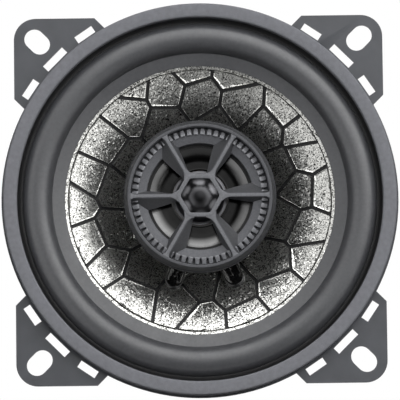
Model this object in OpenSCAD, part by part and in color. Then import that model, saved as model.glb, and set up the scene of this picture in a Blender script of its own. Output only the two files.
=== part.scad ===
// Coaxial car speaker: a 102 mm round frame with four slotted ears, a cone with a raised
// polygon relief, and a small dome tweeter on a post in front of the cone.
// Shapes are drawn about the speaker's axis, with z towards the listener and y up,
// and then stood upright: the front faces -Y, and the ears' rear face is the plane y = 0.

/* [Frame] */
// Diameter of the round rim
rim_d = 102; // [98:1:104]
// Material between a slot's centre and an ear's straight side
ear_margin = 6; // [5.5:0.1:8]
// Length of an ear's two straight sides
ear_side = 20.8; // [18:0.2:24]
// Corner radius of an ear
ear_corner_r = 5.6; // [4:0.2:7]
// Thickness of the frame's sheet steel
sheet_t = 0.9; // [0.7:0.1:1.2]
// Radius of the sheet's bends, on the front side
bend_r = 1.5; // [1.4:0.1:2]
// Distance from the rim out to the centre of a mounting slot
slot_offset = 7.7; // [7.2:0.1:9]
// Width of a mounting slot
slot_w = 5.2; // [4.4:0.1:5.6]
// Distance between the two end centres of a slot
slot_travel = 2; // [1:0.5:2.5]
// Radial width of the small windows in an ear
ear_window_w = 2; // [1.4:0.1:2.2]
// Length of an ear's middle window
ear_window_mid = 7; // [5:0.5:7.5]
// Length of an ear's two outer windows
ear_window_side = 5.3; // [4:0.1:5.6]
// Angle between neighbouring ear windows
ear_window_step = 11; // [10:0.5:13]
// Straight depth of the wall behind the rim
wall_h = 5; // [3:0.5:7]
// Depth of the spider ledge behind the mounting plane
ledge_depth = 18.5; // [18:0.5:22]
// Width of the spider ledge
ledge_w = 5.5; // [5:0.5:6.5]
// Depth of the cup behind the ledge
cup_h = 5; // [4:0.5:8]
// Arms between the rim and the ledge, and as many open windows
arm_count = 6; // [6]
// Angle that one window spans
arm_window_angle = 40; // [34:1:44]
// Radial width of an arm window
arm_window_w = 7; // [6:0.5:7]
// Corner radius of an arm window
arm_window_r = 2; // [1:0.5:3]
// Diameter of the frame's floor opening
floor_hole_d = 34; // [32:1:36]
// Diameter of the circle of rivets in the floor
rivet_circle_d = 42; // [41:0.5:44]
// Number of rivets in the floor
rivet_count = 4; // [3:1:6]
// Shank diameter of a floor rivet
rivet_d = 2.8; // [2.4:0.2:3.2]

/* [Gasket and surround] */
// Step from the rim's edge to the gasket
gasket_inset = 0.5; // [0.3:0.1:1]
// Radial width of the gasket
gasket_w = 3.6; // [3:0.2:4.4]
// Height of the gasket
gasket_h = 3.5; // [3.4:0.1:5]
// Step from the gasket's inner edge to the frame's wall
shoulder = 1.2; // [0.8:0.1:1.6]
// Width of the half roll
roll_w = 7.7; // [6.4:0.1:8.4]
// Height of the half roll
roll_h = 3.3; // [2.6:0.1:3.4]
// Thickness of the surround's rubber
surround_t = 0.6; // [0.4:0.1:0.8]
// Width of the lip that is glued to the cone
lip_w = 3.2; // [2.4:0.1:4]

/* [Cone and coil] */
// Depth of the cone from its edge to its neck
cone_depth = 12.5; // [11:0.5:14]
// Slope of the cone at its edge
cone_edge_angle = 13; // [10:1:18]
// Wall of the cone
cone_t = 0.5; // [0.4:0.1:0.8]
// Height of the neck's collar
collar_h = 2; // [1:0.5:2.5]
// Height of the raised polygons on the cone
relief_h = 0.4; // [0.2:0.1:0.6]
// Width of the grooves between the polygons
groove_w = 0.7; // [0.4:0.1:1]
// Inner diameter of the polygon relief
relief_inner_d = 31; // [30:1:34]
// Angle of each glue dab from straight down
dab_angle = 20.8; // [18:0.2:26]
// Distance of a glue dab's outer centre from the axis
dab_r = 21.8; // [21:0.2:23]
// Width of a glue dab
dab_w = 4.6; // [3.6:0.2:5.2]
// Height of a glue dab
dab_h = 1.2; // [0.8:0.1:1.6]
// Thickness of the coil former
former_t = 0.15; // [0.12:0.01:0.25]
// Thickness of the coil's winding
winding_t = 0.45; // [0.3:0.05:0.6]
// Height of the winding
winding_h = 8; // [6:0.5:9]
// Distance that the cone travels each way
cone_travel = 2.5; // [1.5:0.5:3]
// Outer diameter of the spider
spider_d = 62; // [58:1:64]
// Thickness of the spider
spider_t = 0.4; // [0.3:0.1:0.6]
// Height of the spider's waves
wave_h = 1.4; // [0.8:0.1:1.8]
// Number of the spider's waves
wave_count = 5; // [4:1:6]

/* [Motor] */
// Diameter of the pole
pole_d = 25; // [24:0.5:26]
// Diameter of the top plate
plate_d = 66; // [62:1:68]
// Thickness of the top plate
plate_t = 4; // [3.6:0.2:6]
// Diameter of the ring magnet
magnet_d = 70; // [66:1:80]
// Bore of the ring magnet
magnet_bore = 34; // [32:1:40]
// Thickness of the ring magnet
magnet_t = 12; // [10:0.5:16]
// Diameter of the yoke's back plate
back_d = 66; // [62:1:70]
// Thickness of the yoke's back plate
back_t = 5; // [4.6:0.2:7]
// Bore through the pole
pole_bore = 8; // [7.4:0.2:9]
// Edge chamfer of plates and magnet
edge_chamfer = 0.7; // [0.4:0.1:1]

/* [Tweeter] */
// Height of the tweeter's rim in front of the mounting plane
tweeter_front = 11; // [10:0.5:13]
// Width of the bezel's rim
bezel_rim_w = 1.8; // [1.5:0.1:2.2]
// Radial width of the rim's slanted outer side
bezel_slant_w = 0.95; // [0.6:0.05:1]
// Depth of the rim's outer edge behind its face
bezel_slant_h = 2.2; // [1.6:0.1:2.6]
// Depth of the shelf below the rim
shelf_drop = 3.8; // [3.4:0.1:4.4]
// Thickness of the shelf
shelf_t = 1; // [0.8:0.1:1.4]
// Step from the annular edge's roll out to the shelf's opening
shelf_gap = 0.9; // [0.6:0.1:1.2]
// Wall of the bezel outside the cup
bezel_wall = 2; // [1.6:0.1:2.4]
// Number of teeth round the shelf
tooth_count = 60; // [48:4:72]
// Width of a tooth
tooth_w = 0.9; // [0.6:0.1:1]
// Radial length of a tooth
tooth_len = 1.5; // [1:0.1:1.8]
// Depth of the groove that the teeth stand in
tooth_groove = 0.5; // [0.3:0.1:0.6]
// Number of spokes
spoke_count = 6; // [6]
// Width of a spoke's top edge
spoke_w = 0.8; // [0.6:0.1:1.2]
// Sideways reach of a spoke's wide flank at the shelf's edge
spoke_lean = 3.5; // [2.6:0.1:4.2]
// Sideways reach of a spoke's steep flank at the shelf's edge
spoke_back = 1.6; // [1:0.1:2]
// Distance from the axis to a corner of the hub's opening
hub_opening_r = 5; // [4.6:0.1:5.2]
// Wall of the hub
hub_wall = 1.1; // [0.8:0.1:1.4]
// Height of the hub
hub_h = 1.4; // [1:0.1:1.6]
// Diameter of the dome
dome_d = 12.8; // [12:0.2:13]
// Height of the dome
dome_h = 4.3; // [3.6:0.1:4.5]
// Thickness of the dome's film
film_t = 0.15; // [0.12:0.01:0.2]
// Width of the annular edge round the dome
edge_w = 4.9; // [4.6:0.1:5.6]
// Height of the annular edge's roll
edge_roll_h = 1.6; // [1:0.1:1.8]
// Width of the seat that carries the annular edge
edge_seat_w = 1.6; // [1.2:0.1:2]
// Distance that the dome travels each way
dome_travel = 0.25; // [0.15:0.05:0.3]
// Thickness of the ring that clamps the diaphragm
clamp_ring_t = 1; // [0.8:0.1:1.2]
// Radial width of that ring
clamp_ring_w = 3; // [2.4:0.1:3.6]
// Thickness of the tweeter's small magnet
button_magnet_t = 1.8; // [1.4:0.1:2]
// Thickness of the small pole plate
button_plate_t = 1.1; // [0.9:0.1:1.2]
// Wall of the pot round the small magnet
pot_wall = 3.3; // [2.6:0.1:3.5]
// Floor of the pot
pot_floor = 1.3; // [1:0.1:1.6]
// Wall of the tweeter's cup
cup_wall = 1.4; // [1.2:0.1:1.6]
// Diameter of the post's stem
post_d = 12.4; // [11.5:0.2:14]
// Diameter of the post's foot
post_foot_d = 21; // [18:0.5:22]
// Thickness of the post's foot
post_foot_t = 1.5; // [1:0.1:2]
// Diameter of the series capacitor
capacitor_d = 6.3; // [5:0.1:6.6]
// Length of the series capacitor
capacitor_len = 11; // [9:0.5:13]
// Diameter of the post's screw
screw_d = 3; // [2.5:0.5:3]
// Diameter of the screw's head
screw_head_d = 6; // [5:0.5:6.5]
// Height of the screw's head
screw_head_h = 2; // [1.6:0.1:2.4]
// Outer diameter of the screw's washer
washer_d = 13; // [12:0.5:14]
// Thickness of the washer
washer_t = 0.8; // [0.6:0.1:1]

/* [Terminals] */
// Width of the tab that carries the terminal board
tab_w = 7; // [6:0.5:8]
// Reach of that tab beyond the ledge
tab_len = 5.5; // [5:0.5:6.5]
// Width of the terminal board
board_w = 22; // [20:0.5:24]
// Length of the terminal board
board_len = 8; // [7.5:0.5:9]
// Thickness of the terminal board
board_t = 1.6; // [1.2:0.1:2]
// Width of the wide terminal blade
wide_blade_w = 4.8; // [4:0.1:5]
// Width of the narrow terminal blade
narrow_blade_w = 2.8; // [2.8:0.1:4]
// Thickness of a terminal blade
blade_t = 0.8; // [0.5:0.1:0.8]
// Length of a terminal blade
blade_len = 12; // [10:0.5:12.5]
// Sideways place of each blade
blade_x = 7; // [6.8:0.1:8]
// Shank diameter of the terminals' rivets
small_rivet_d = 1.8; // [1.4:0.1:2]
// Diameter of a tinsel lead
tinsel_d = 1; // [0.8:0.1:1.2]
// Diameter of a tweeter lead
tweeter_lead_d = 0.8; // [0.6:0.1:1]

/* [Clearances] */
// Bond line between glued curved faces
glue_gap = 0.1; // [0.05:0.05:0.15]
// Air gap on each side of the voice coil
coil_gap = 0.35; // [0.3:0.05:0.5]
// Play of a shank or spigot in its hole
play = 0.1; // [0.05:0.05:0.15]

/* [Hidden] */

$fn = 96;
// Overlap that joins the solids of one piece
weld = 0.2;
// Reach of a cutting solid beyond what it cuts
cut = 1;

// Colours
steel_black = [0.36, 0.37, 0.39];
rubber_grey = [0.46, 0.47, 0.49];
cone_silver = [0.75, 0.75, 0.73];
tweeter_grey = [0.38, 0.38, 0.40];
zinc = [0.72, 0.72, 0.70];
gloss_black = [0.10, 0.10, 0.10];

// Radii of the frame, gasket and surround, from the rim inwards
rim_r = rim_d / 2;
slot_r = rim_r + slot_offset;
gasket_r_out = rim_r - gasket_inset;
gasket_r_in = gasket_r_out - gasket_w;
wall_r = gasket_r_in - shoulder;
roll_r_out = wall_r - glue_gap;
roll_r_in = roll_r_out - roll_w;
lip_r_in = roll_r_in - lip_w;
cone_r = roll_r_in - surround_t / 2;
spider_r = spider_d / 2;
ledge_r_out = spider_r + bend_r / 2;
ledge_r_in = ledge_r_out - ledge_w;
pole_r = pole_d / 2;
former_r_in = pole_r + coil_gap;
former_r_out = former_r_in + former_t;
winding_r_in = former_r_out + glue_gap / 2;
winding_r_out = winding_r_in + winding_t;
plate_bore_r = winding_r_out + coil_gap;
neck_r = former_r_out + glue_gap;
window_r_in = (ledge_r_out + wall_r - arm_window_w) / 2;
window_r_out = window_r_in + arm_window_w;

// Levels along the axis, from the mounting plane
foot_top = sheet_t + surround_t;
ledge_z = -ledge_depth;
floor_z = ledge_z - cup_h;
plate_front = floor_z - sheet_t;
plate_back = plate_front - plate_t;
magnet_back = plate_back - magnet_t;
yoke_back = magnet_back - back_t;
coil_mid = plate_front - plate_t / 2;

// Cone profile: an arc whose slope grows from the edge to the neck
lip_offset = surround_t + glue_gap;
cone_edge_z = foot_top - lip_offset * cos(cone_edge_angle)
    - (roll_r_in - cone_r + lip_offset * sin(cone_edge_angle)) * tan(cone_edge_angle);
cone_chord_angle = atan(cone_depth / (cone_r - neck_r));
cone_neck_angle = 2 * cone_chord_angle - cone_edge_angle;
cone_arc_r = (cone_r - neck_r) / (sin(cone_neck_angle) - sin(cone_edge_angle));
cone_steps = 6;
// Rim bead of the cone, just inside the surround's lip
bead_gap = 0.25;
bead_w = 0.5;
relief_r_out = lip_r_in - 2 * bead_gap - bead_w;
relief_r_in = relief_inner_d / 2;

// Centres of the raised polygons, set by hand as [distance from the axis, angle]
cells = [
    [35, 94], [35.2, 74], [33, 47], [32.4, 33], [32.8, 5], [30.1, 22], [32.2, 332], [31, 311],
    [32.5, 291], [31, 272], [26, 258], [29.5, 233], [27.9, 214], [30.5, 200], [32.8, 181],
    [29, 166], [29, 149], [30, 128], [35, 121], [30.2, 106], [26.6, 90], [27.2, 66],
    [25, 49], [25.8, 7], [28.8, 344], [23.7, 319], [25, 290], [21.2, 268], [23.6, 229],
    [23, 199], [22.2, 168], [20.2, 151], [21.8, 112], [20, 79], [21.6, 21], [21.2, 348],
];

// Gap on each side of the tweeter's coil, and below its dome at full travel
small_gap = 0.3;

// Levels of the tweeter, from its rim backwards
shelf_top = tweeter_front - shelf_drop;
shelf_bottom = shelf_top - shelf_t;
clamp_bottom = shelf_bottom - clamp_ring_t;
cup_top = clamp_bottom - film_t;
button_top = cup_top - dome_travel - small_gap;
button_floor = button_top - button_plate_t - button_magnet_t;
cup_inside = button_floor - pot_floor;
cup_back = cup_inside - cup_wall;

// Radii of the tweeter, from the dome outwards
dome_r = dome_d / 2;
small_winding_t = 0.4;
small_former_r = dome_r + film_t;
button_r = small_former_r - small_gap;
pot_bore_r = small_former_r + small_winding_t + small_gap;
pot_r = pot_bore_r + pot_wall;
edge_r_in = dome_r + small_winding_t + 2 * film_t;
edge_r_out = edge_r_in + edge_w;
socket_r_out = edge_r_out + edge_seat_w;
shelf_r_in = edge_r_out + shelf_gap;
clamp_r_out = shelf_r_in + clamp_ring_w;
cup_r = clamp_r_out + play + cup_wall;
skirt_r = cup_r + play;
tweeter_r = skirt_r + bezel_wall;
bezel_r_in = tweeter_r - bezel_rim_w;
small_coil_h = 2.6;

// Post between the pole and the tweeter's cup
spigot_len = 6;
spigot_r = pole_bore / 2 - play;
capacitor_well_r = capacitor_d / 2 + play;
neck_spigot_r = capacitor_well_r + 0.8;
screw_tip = plate_front - 1;
counterbore_depth = washer_t + screw_head_h + 0.4;
washer_seat = yoke_back + counterbore_depth;

// Terminal board behind the tab
board_front = ledge_z - sheet_t;
board_y = -(ledge_r_out + bend_r / 2 + play);
blade_y = board_y - 1;
blade_rivet_y = blade_y - small_rivet_d;
tab_rivet_y = -(ledge_r_out + tab_len - small_rivet_d);
small_head_d = 1.9 * small_rivet_d;
small_head_h = 0.6;

// A vector of length one
function unit(v) = v / norm(v);

// The direction to the left of a plane direction
function left_of(d) = [-d.y, d.x];

// The points of a list in the other order
function reversed(p) = [for (i = [len(p) - 1 : -1 : 0]) p[i]];

// A plane path moved by t to its left, with mitred corners
function shifted(p, t) = [
    for (i = [0 : len(p) - 1])
        let (
            before = unit(i > 0 ? p[i] - p[i - 1] : p[1] - p[0]),
            after = unit(i < len(p) - 1 ? p[i + 1] - p[i] : p[i] - p[i - 1]),
            mitre = unit(left_of(before) + left_of(after))
        )
        p[i] + mitre * t / (mitre * left_of(before))
];

// An arc of radius r in n steps that rounds the corner b between a and c
function corner_arc(a, b, c, r, n) =
    let (
        u = unit(a - b),
        v = unit(c - b),
        half = acos(u * v) / 2,
        centre = b + unit(u + v) * r / sin(half),
        first = b + u * r / tan(half) - centre,
        last = b + v * r / tan(half) - centre,
        start = atan2(first.y, first.x),
        turn = atan2(first.x * last.y - first.y * last.x, first * last)
    )
    [for (k = [0 : n]) centre + r * [cos(start + turn * k / n), sin(start + turn * k / n)]];

// A path with every inner corner rounded
function rounded(p, r, n = 3) = [
    for (i = [0 : len(p) - 1])
        each i == 0 || i == len(p) - 1 ? [p[i]] : corner_arc(p[i - 1], p[i], p[i + 1], r, n)
];

// A hump of width w and height h that starts at p and runs towards the axis, in n steps
function hump(p, w, h, n) =
    let (
        r = (w * w / 4 + h * h) / (2 * h),
        reach = asin(min(1, w / 2 / r)),
        span = h > w / 2 ? 180 - reach : reach,
        centre = [p.x - w / 2, p.y + h - r]
    )
    [for (k = [0 : n]) centre + r * [sin(span * (1 - 2 * k / n)), cos(span * (1 - 2 * k / n))]];

// Slope of the cone at distance r from the axis
function cone_slope(r) = asin(sin(cone_edge_angle) + (cone_r - r) / cone_arc_r);

// Height of the cone's front face at distance r from the axis
function cone_z(r) = cone_edge_z - cone_arc_r * (cos(cone_edge_angle) - cos(cone_slope(r)));

// Points of the cone's front face between two distances from the axis
function cone_path(r_from, r_to, n) = [
    for (k = [0 : n])
        let (r = r_from + (r_to - r_from) * k / n)
        [r, cone_z(r)]
];

// The part of a polygon that lies behind a line through p with normal n
function clipped(poly, p, n) = [
    for (k = [0 : len(poly) - 1])
        let (
            a = poly[k],
            b = poly[(k + 1) % len(poly)],
            da = (a - p) * n,
            db = (b - p) * n
        )
        each concat(da <= 0 ? [a] : [], da * db < 0 ? [a + (b - a) * da / (da - db)] : [])
];

// Centre of a raised polygon
function cell_centre(i) = cells[i][0] * [cos(cells[i][1]), sin(cells[i][1])];

// Outline of a raised polygon: all that is nearer to its centre than to any other, less half a groove
function cell_outline(i, poly, j = 0) =
    j == len(cells) ? poly
    : j == i ? cell_outline(i, poly, j + 1)
    : let (
        a = cell_centre(i),
        b = cell_centre(j),
        n = unit(b - a)
    )
    cell_outline(i, clipped(poly, (a + b) / 2 - n * groove_w / 2, n), j + 1);

// Points of a smooth curve through a route, n to each stretch
function smooth_route(p, n) = [
    for (i = [0 : len(p) - 2], k = [0 : n - 1])
        let (
            a = p[max(i - 1, 0)],
            b = p[i],
            c = p[i + 1],
            d = p[min(i + 2, len(p) - 1)],
            t = k / n
        )
        b + t * (c - a) / 2 + t * t * (a - 2.5 * b + 2 * c - d / 2)
            + t * t * t * (1.5 * (b - c) + (d - a) / 2),
    p[len(p) - 1]
];

// Stands a shape that was drawn about the z axis upright, with its front towards -Y
module upright() {
    rotate([90, 0, 0]) children();
}

// A sheet of revolution: a path, thickened by t to its left
module revolved_sheet(path, t) {
    rotate_extrude() polygon(concat(path, reversed(shifted(path, t))));
}

// A ring of rectangular section with chamfered outer edges
module chamfered_ring(r_in, r_out, z_low, z_high, c) {
    rotate_extrude() polygon([
        [r_in, z_low], [r_out - c, z_low], [r_out, z_low + c],
        [r_out, z_high - c], [r_out - c, z_high], [r_in, z_high],
    ]);
}

// A plain ring
module ring(r_in, r_out, z_low, z_high) {
    rotate_extrude() translate([r_in, z_low]) square([r_out - r_in, z_high - z_low]);
}

// A round bar along the axis
module bar(r, z_low, z_high) {
    translate([0, 0, z_low]) cylinder(r = r, h = z_high - z_low);
}

// A tube of diameter d along a route that keeps close to a plane of constant x
module tube(route, d) {
    sides = 8;
    count = len(route);
    points = [
        for (i = [0 : count - 1])
            let (
                along = unit(route[min(i + 1, count - 1)] - route[max(i - 1, 0)]),
                across = unit(cross(along, [1, 0, 0])),
                up = cross(along, across)
            )
            for (k = [0 : sides - 1])
                route[i] + d / 2 * (cos(360 * k / sides) * across + sin(360 * k / sides) * up)
    ];
    walls = [
        for (i = [0 : count - 2], k = [0 : sides - 1])
            let (
                a = i * sides + k,
                b = i * sides + (k + 1) % sides
            )
            each [[a, b, b + sides], [a, b + sides, a + sides]]
    ];
    last = (count - 1) * sides;
    ends = [[for (k = [sides - 1 : -1 : 0]) k], [for (k = [0 : sides - 1]) last + k]];
    polyhedron(points, concat(walls, ends), convexity = 6);
}

// An obround of width w that runs along x between two centres
module obround(w, x_from, x_to) {
    translate([x_from, 0]) circle(d = w);
    translate([x_to, 0]) circle(d = w);
    translate([x_from, -w / 2]) square([x_to - x_from, w]);
}

// One ear, with its root inside the rim
module ear_outline() {
    h = slot_r / sqrt(2) + ear_margin;
    s = h - ear_side;
    root = 6;
    c = h - ear_corner_r;
    polygon([[s - root, h - root], [s, h], [c, h], [h, c], [h, s], [h - root, s - root]]);
    translate([c, c]) circle(ear_corner_r);
}

// The slot and the three windows of one ear
module ear_openings() {
    window_r = rim_r + ear_window_w / 2 + 0.2;
    rotate(45) obround(slot_w, slot_r - slot_travel / 2, slot_r + slot_travel / 2);
    rotate(45) translate([window_r, 0]) square([ear_window_w, ear_window_mid], center = true);
    for (side = [-1, 1])
        rotate(45 + side * ear_window_step) translate([window_r, 0])
            square([ear_window_w, ear_window_side], center = true);
}

// The flat flange with its ears
module flange() {
    linear_extrude(sheet_t) difference() {
        union() {
            circle(rim_r);
            for (q = [0 : 3]) rotate(90 * q) ear_outline();
        }
        circle(wall_r + bend_r);
        for (q = [0 : 3]) rotate(90 * q) ear_openings();
    }
}

// A sector of a ring, between two radii and half an angle to each side of x
module ring_sector(r_in, r_out, half_angle) {
    reach = r_out / cos(half_angle);
    intersection() {
        difference() {
            circle(r_out);
            circle(r_in);
        }
        polygon([
            [0, 0],
            reach * [cos(half_angle), -sin(half_angle)],
            reach * [cos(half_angle), sin(half_angle)],
        ]);
    }
}

// The outline of a window between two arms, with round corners
module arm_window() {
    half = arm_window_angle / 2;
    r_low = window_r_in + arm_window_r;
    r_high = window_r_out - arm_window_r;
    turn_low = asin(arm_window_r / r_low);
    turn_high = asin(arm_window_r / r_high);
    ring_sector(r_low, r_high, half);
    ring_sector(window_r_in, r_low, half - turn_low);
    ring_sector(r_high - weld, window_r_out, half - turn_high);
    for (side = [-1, 1]) {
        rotate(side * (half - turn_low)) translate([r_low, 0]) circle(arm_window_r);
        rotate(side * (half - turn_high)) translate([r_high, 0]) circle(arm_window_r);
    }
}

// The notch below the lowest window that frees the terminal tab
module tab_notch() {
    w = tab_w + 2 * sheet_t;
    y_low = -(window_r_in + arm_window_r);
    y_high = -(ledge_r_out - bend_r / 2);
    translate([-w / 2, y_low]) square([w, y_high - y_low]);
}

// The formed sheet from the flange to the floor
module basket_sheet() {
    path = rounded([
        [rim_r - gasket_inset, sheet_t], [wall_r, sheet_t], [wall_r, -wall_h], [ledge_r_out, ledge_z],
        [ledge_r_in, ledge_z], [ledge_r_in, floor_z], [floor_hole_d / 2, floor_z],
    ], bend_r);
    revolved_sheet(path, sheet_t);
}

// The places of the floor rivets
module at_floor_rivets() {
    for (k = [0 : rivet_count - 1]) rotate(360 * (k + 0.5) / rivet_count)
        translate([rivet_circle_d / 2, 0, 0]) children();
}

module basket() {
    color(steel_black) upright() difference() {
        union() {
            difference() {
                union() {
                    flange();
                    basket_sheet();
                }
                translate([0, 0, floor_z]) linear_extrude(-wall_h - floor_z) {
                    for (k = [0 : arm_count - 1]) rotate(360 / arm_count * k - 90) arm_window();
                    tab_notch();
                }
            }
            translate([-tab_w / 2, -(ledge_r_out + tab_len), ledge_z - sheet_t])
                cube([tab_w, tab_len + ledge_w / 2, sheet_t]);
        }
        at_floor_rivets() bar(rivet_d / 2 + play, plate_front - cut, floor_z + cut);
        translate([0, tab_rivet_y, 0])
            bar(small_rivet_d / 2 + play, board_front - cut, ledge_z + cut);
    }
}

module gasket() {
    c = 0.4;
    top = foot_top + gasket_h;
    color(rubber_grey) upright() rotate_extrude() polygon([
        [gasket_r_in, foot_top], [gasket_r_out, foot_top], [gasket_r_out, top - c],
        [gasket_r_out - c, top], [gasket_r_in + c, top], [gasket_r_in, top - c],
    ]);
}

module surround() {
    lip_end = lip_r_in + lip_offset * sin(cone_slope(lip_r_in));
    lip = shifted(cone_path(cone_r, lip_end, 3), -lip_offset);
    path = concat(
        [[gasket_r_out - glue_gap, foot_top]],
        hump([roll_r_out, foot_top], roll_w, roll_h, 16),
        lip
    );
    color(rubber_grey) upright() revolved_sheet(path, surround_t);
}

// The pockets that the glue dabs fill, grown by a margin
module dab_pockets(margin) {
    for (side = [-1, 1])
        rotate(-90 + side * dab_angle)
            obround(dab_w + 2 * margin, relief_r_in, dab_r);
}

// The raised polygons, cut from a shell on the cone's front
module cone_relief() {
    big = 2 * cone_r;
    square_around = [[-big, -big], [big, -big], [big, big], [-big, big]];
    path = cone_path(relief_r_out, relief_r_in, cone_steps - 1);
    shell = concat(shifted(path, -relief_h), reversed(shifted(path, cone_t / 2)));
    intersection() {
        rotate_extrude() polygon(shell);
        translate([0, 0, cone_edge_z - 2 * cone_depth]) linear_extrude(3 * cone_depth) difference() {
            for (i = [0 : len(cells) - 1]) polygon(cell_outline(i, square_around));
            dab_pockets(bead_gap);
        }
    }
}

module cone() {
    face = cone_path(cone_r, neck_r, cone_steps);
    collar = [neck_r, cone_z(neck_r) - collar_h];
    bead_r = lip_r_in - bead_gap;
    bead = cone_path(bead_r, bead_r - bead_w, 1);
    color(cone_silver) upright() difference() {
        union() {
            revolved_sheet(concat(face, [collar]), cone_t);
            rotate_extrude()
                polygon(concat(shifted(bead, -relief_h), reversed(shifted(bead, cone_t / 2))));
            cone_relief();
        }
        at_dabs() bar(tinsel_d / 2 + 3 * play, cone_z(dab_r) - 2 * cut, cone_z(dab_r) + 2 * cut);
    }
}

// The places of the glue dabs' outer centres
module at_dabs() {
    for (side = [-1, 1]) rotate(-90 + side * dab_angle) translate([dab_r, 0, 0]) children();
}

module glue_dabs() {
    // A round bar with ball ends, sunk so that dab_h of it shows above the cone
    r = (dab_w * dab_w / 4 + dab_h * dab_h) / (2 * dab_h);
    slope = cone_slope(dab_r);
    inner = relief_r_in + dab_w / 2 + 0.8;
    len = (dab_r - inner) / cos(slope);
    face = cone_path(cone_r, neck_r, cone_steps);
    color(gloss_black) upright() difference() {
        at_dabs() translate([-glue_gap, 0, cone_z(dab_r) + glue_gap]) rotate([0, -slope, 0])
            translate([0, 0, dab_h - r]) {
                intersection() {
                    union() {
                        sphere(r);
                        rotate([0, -90, 0]) cylinder(r = r, h = len);
                        translate([-len, 0, 0]) sphere(r);
                    }
                    translate([0, 0, r - dab_h - 0.6]) linear_extrude(2 * dab_h)
                        obround(dab_w, -len, 0);
                }
            }
        rotate_extrude() polygon(concat(
            shifted(face, -glue_gap), [[0, cone_z(neck_r)], [0, plate_front], [cone_r, plate_front]]
        ));
    }
}

module coil_former() {
    color([0.60, 0.42, 0.18]) upright()
        ring(former_r_in, former_r_out, coil_mid - winding_h / 2 - 0.5, cone_z(neck_r) + 1);
}

module voice_coil() {
    color([0.72, 0.40, 0.22]) upright()
        ring(winding_r_in, winding_r_out, coil_mid - winding_h / 2, coil_mid + winding_h / 2);
}

module spider() {
    steps = 8;
    r_in = neck_r + 1.2;
    r_out = ledge_r_in + bend_r;
    waves = [
        for (k = [0 : wave_count * steps])
            let (t = k / (wave_count * steps))
            [r_out + (r_in - r_out) * t, ledge_z + wave_h * (1 - cos(360 * wave_count * t)) / 2]
    ];
    collar_r = neck_r + spider_t;
    path = concat([[spider_r, ledge_z]], waves, [[collar_r, ledge_z], [collar_r, ledge_z + wave_h]]);
    color([0.80, 0.62, 0.32]) upright() revolved_sheet(path, -spider_t);
}

module top_plate() {
    color(zinc) upright() difference() {
        chamfered_ring(plate_bore_r, plate_d / 2, plate_back, plate_front, edge_chamfer);
        at_floor_rivets() bar(rivet_d / 2 + play, plate_front - rivet_d - play, plate_front + cut);
    }
}

module magnet() {
    color([0.25, 0.25, 0.26]) upright()
        chamfered_ring(magnet_bore / 2, magnet_d / 2, magnet_back, plate_back, edge_chamfer);
}

module yoke() {
    c = edge_chamfer;
    bore_r = pole_bore / 2;
    counterbore_r = washer_d / 2 + play;
    color(zinc) upright() rotate_extrude() polygon([
        [bore_r, plate_front], [pole_r - c, plate_front], [pole_r, plate_front - c],
        [pole_r, magnet_back], [back_d / 2 - c, magnet_back], [back_d / 2, magnet_back - c],
        [back_d / 2, yoke_back + c], [back_d / 2 - c, yoke_back], [counterbore_r, yoke_back],
        [counterbore_r, washer_seat], [bore_r, washer_seat],
    ]);
}

module basket_rivets() {
    head_r = 0.8 * rivet_d;
    color(zinc) upright() at_floor_rivets() {
        bar(rivet_d / 2, plate_front - rivet_d, floor_z + weld);
        translate([0, 0, floor_z]) cylinder(r1 = head_r, r2 = 0.7 * head_r, h = 1);
    }
}

module terminal_board() {
    color([0.45, 0.30, 0.16]) upright() difference() {
        translate([-board_w / 2, board_y - board_len, board_front - board_t])
            cube([board_w, board_len, board_t]);
        translate([0, tab_rivet_y, 0])
            bar(small_rivet_d / 2 + play, board_front - board_t - cut, board_front + cut);
        for (side = [-1, 1]) translate([side * blade_x, blade_rivet_y, 0])
            bar(small_rivet_d / 2 + play, board_front - board_t - cut, board_front + cut);
    }
}

// A flat terminal blade of width w with a bevelled tip, on the front of the board
module blade(w) {
    bevel = w / 5;
    dimple_d = 1.2;
    tip = blade_y - blade_len;
    linear_extrude(blade_t) difference() {
        polygon([
            [-w / 2, blade_y], [w / 2, blade_y], [w / 2, tip + bevel], [w / 2 - bevel, tip],
            [bevel - w / 2, tip], [-w / 2, tip + bevel],
        ]);
        translate([0, blade_rivet_y]) circle(small_rivet_d / 2 + play);
        translate([0, tip + 2.4]) circle(d = dimple_d);
    }
}

module terminal_positive() {
    color(zinc) upright() translate([blade_x, 0, board_front]) blade(wide_blade_w);
}

module terminal_negative() {
    color(zinc) upright() translate([-blade_x, 0, board_front]) blade(narrow_blade_w);
}

// A rivet that clamps everything between two levels
module small_rivet(z_low, z_high) {
    bar(small_rivet_d / 2, z_low - weld, z_high + weld);
    bar(small_head_d / 2, z_low - small_head_h, z_low);
    bar(small_head_d / 2, z_high, z_high + small_head_h);
}

module terminal_rivets() {
    color([0.80, 0.70, 0.40]) upright() {
        translate([0, tab_rivet_y, 0]) small_rivet(board_front - board_t, ledge_z);
        for (side = [-1, 1]) translate([side * blade_x, blade_rivet_y, 0])
            small_rivet(board_front - board_t, board_front + blade_t);
    }
}

// The route of a tinsel lead, from its terminal through the window to the back of the cone
function tinsel_route() =
    let (
        end = dab_r * [sin(dab_angle), -cos(dab_angle)],
        start = board_front + blade_t + small_head_h + tinsel_d / 2 + glue_gap,
        back = cone_z(dab_r)
    )
    smooth_route([
        [blade_x, blade_rivet_y, start],
        [blade_x, -window_r_in - 1.975 * tinsel_d, start + 1.5],
        [blade_x + 0.2, -window_r_in - 2.675 * tinsel_d, start + 3.9],
        [blade_x + 0.4, -window_r_in - tinsel_d, start + 6],
        [blade_x + 0.6, 3.7 * tinsel_d - window_r_in, start + 7.8],
        [end.x, end.y - 4.5, back - cone_travel - tinsel_d],
        [end.x, end.y - 0.6, back - cone_travel],
        [end.x, end.y, back - tinsel_d],
    ], 3);

module tinsel_lead_positive() {
    color([0.70, 0.55, 0.35]) upright() tube(tinsel_route(), tinsel_d);
}

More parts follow.
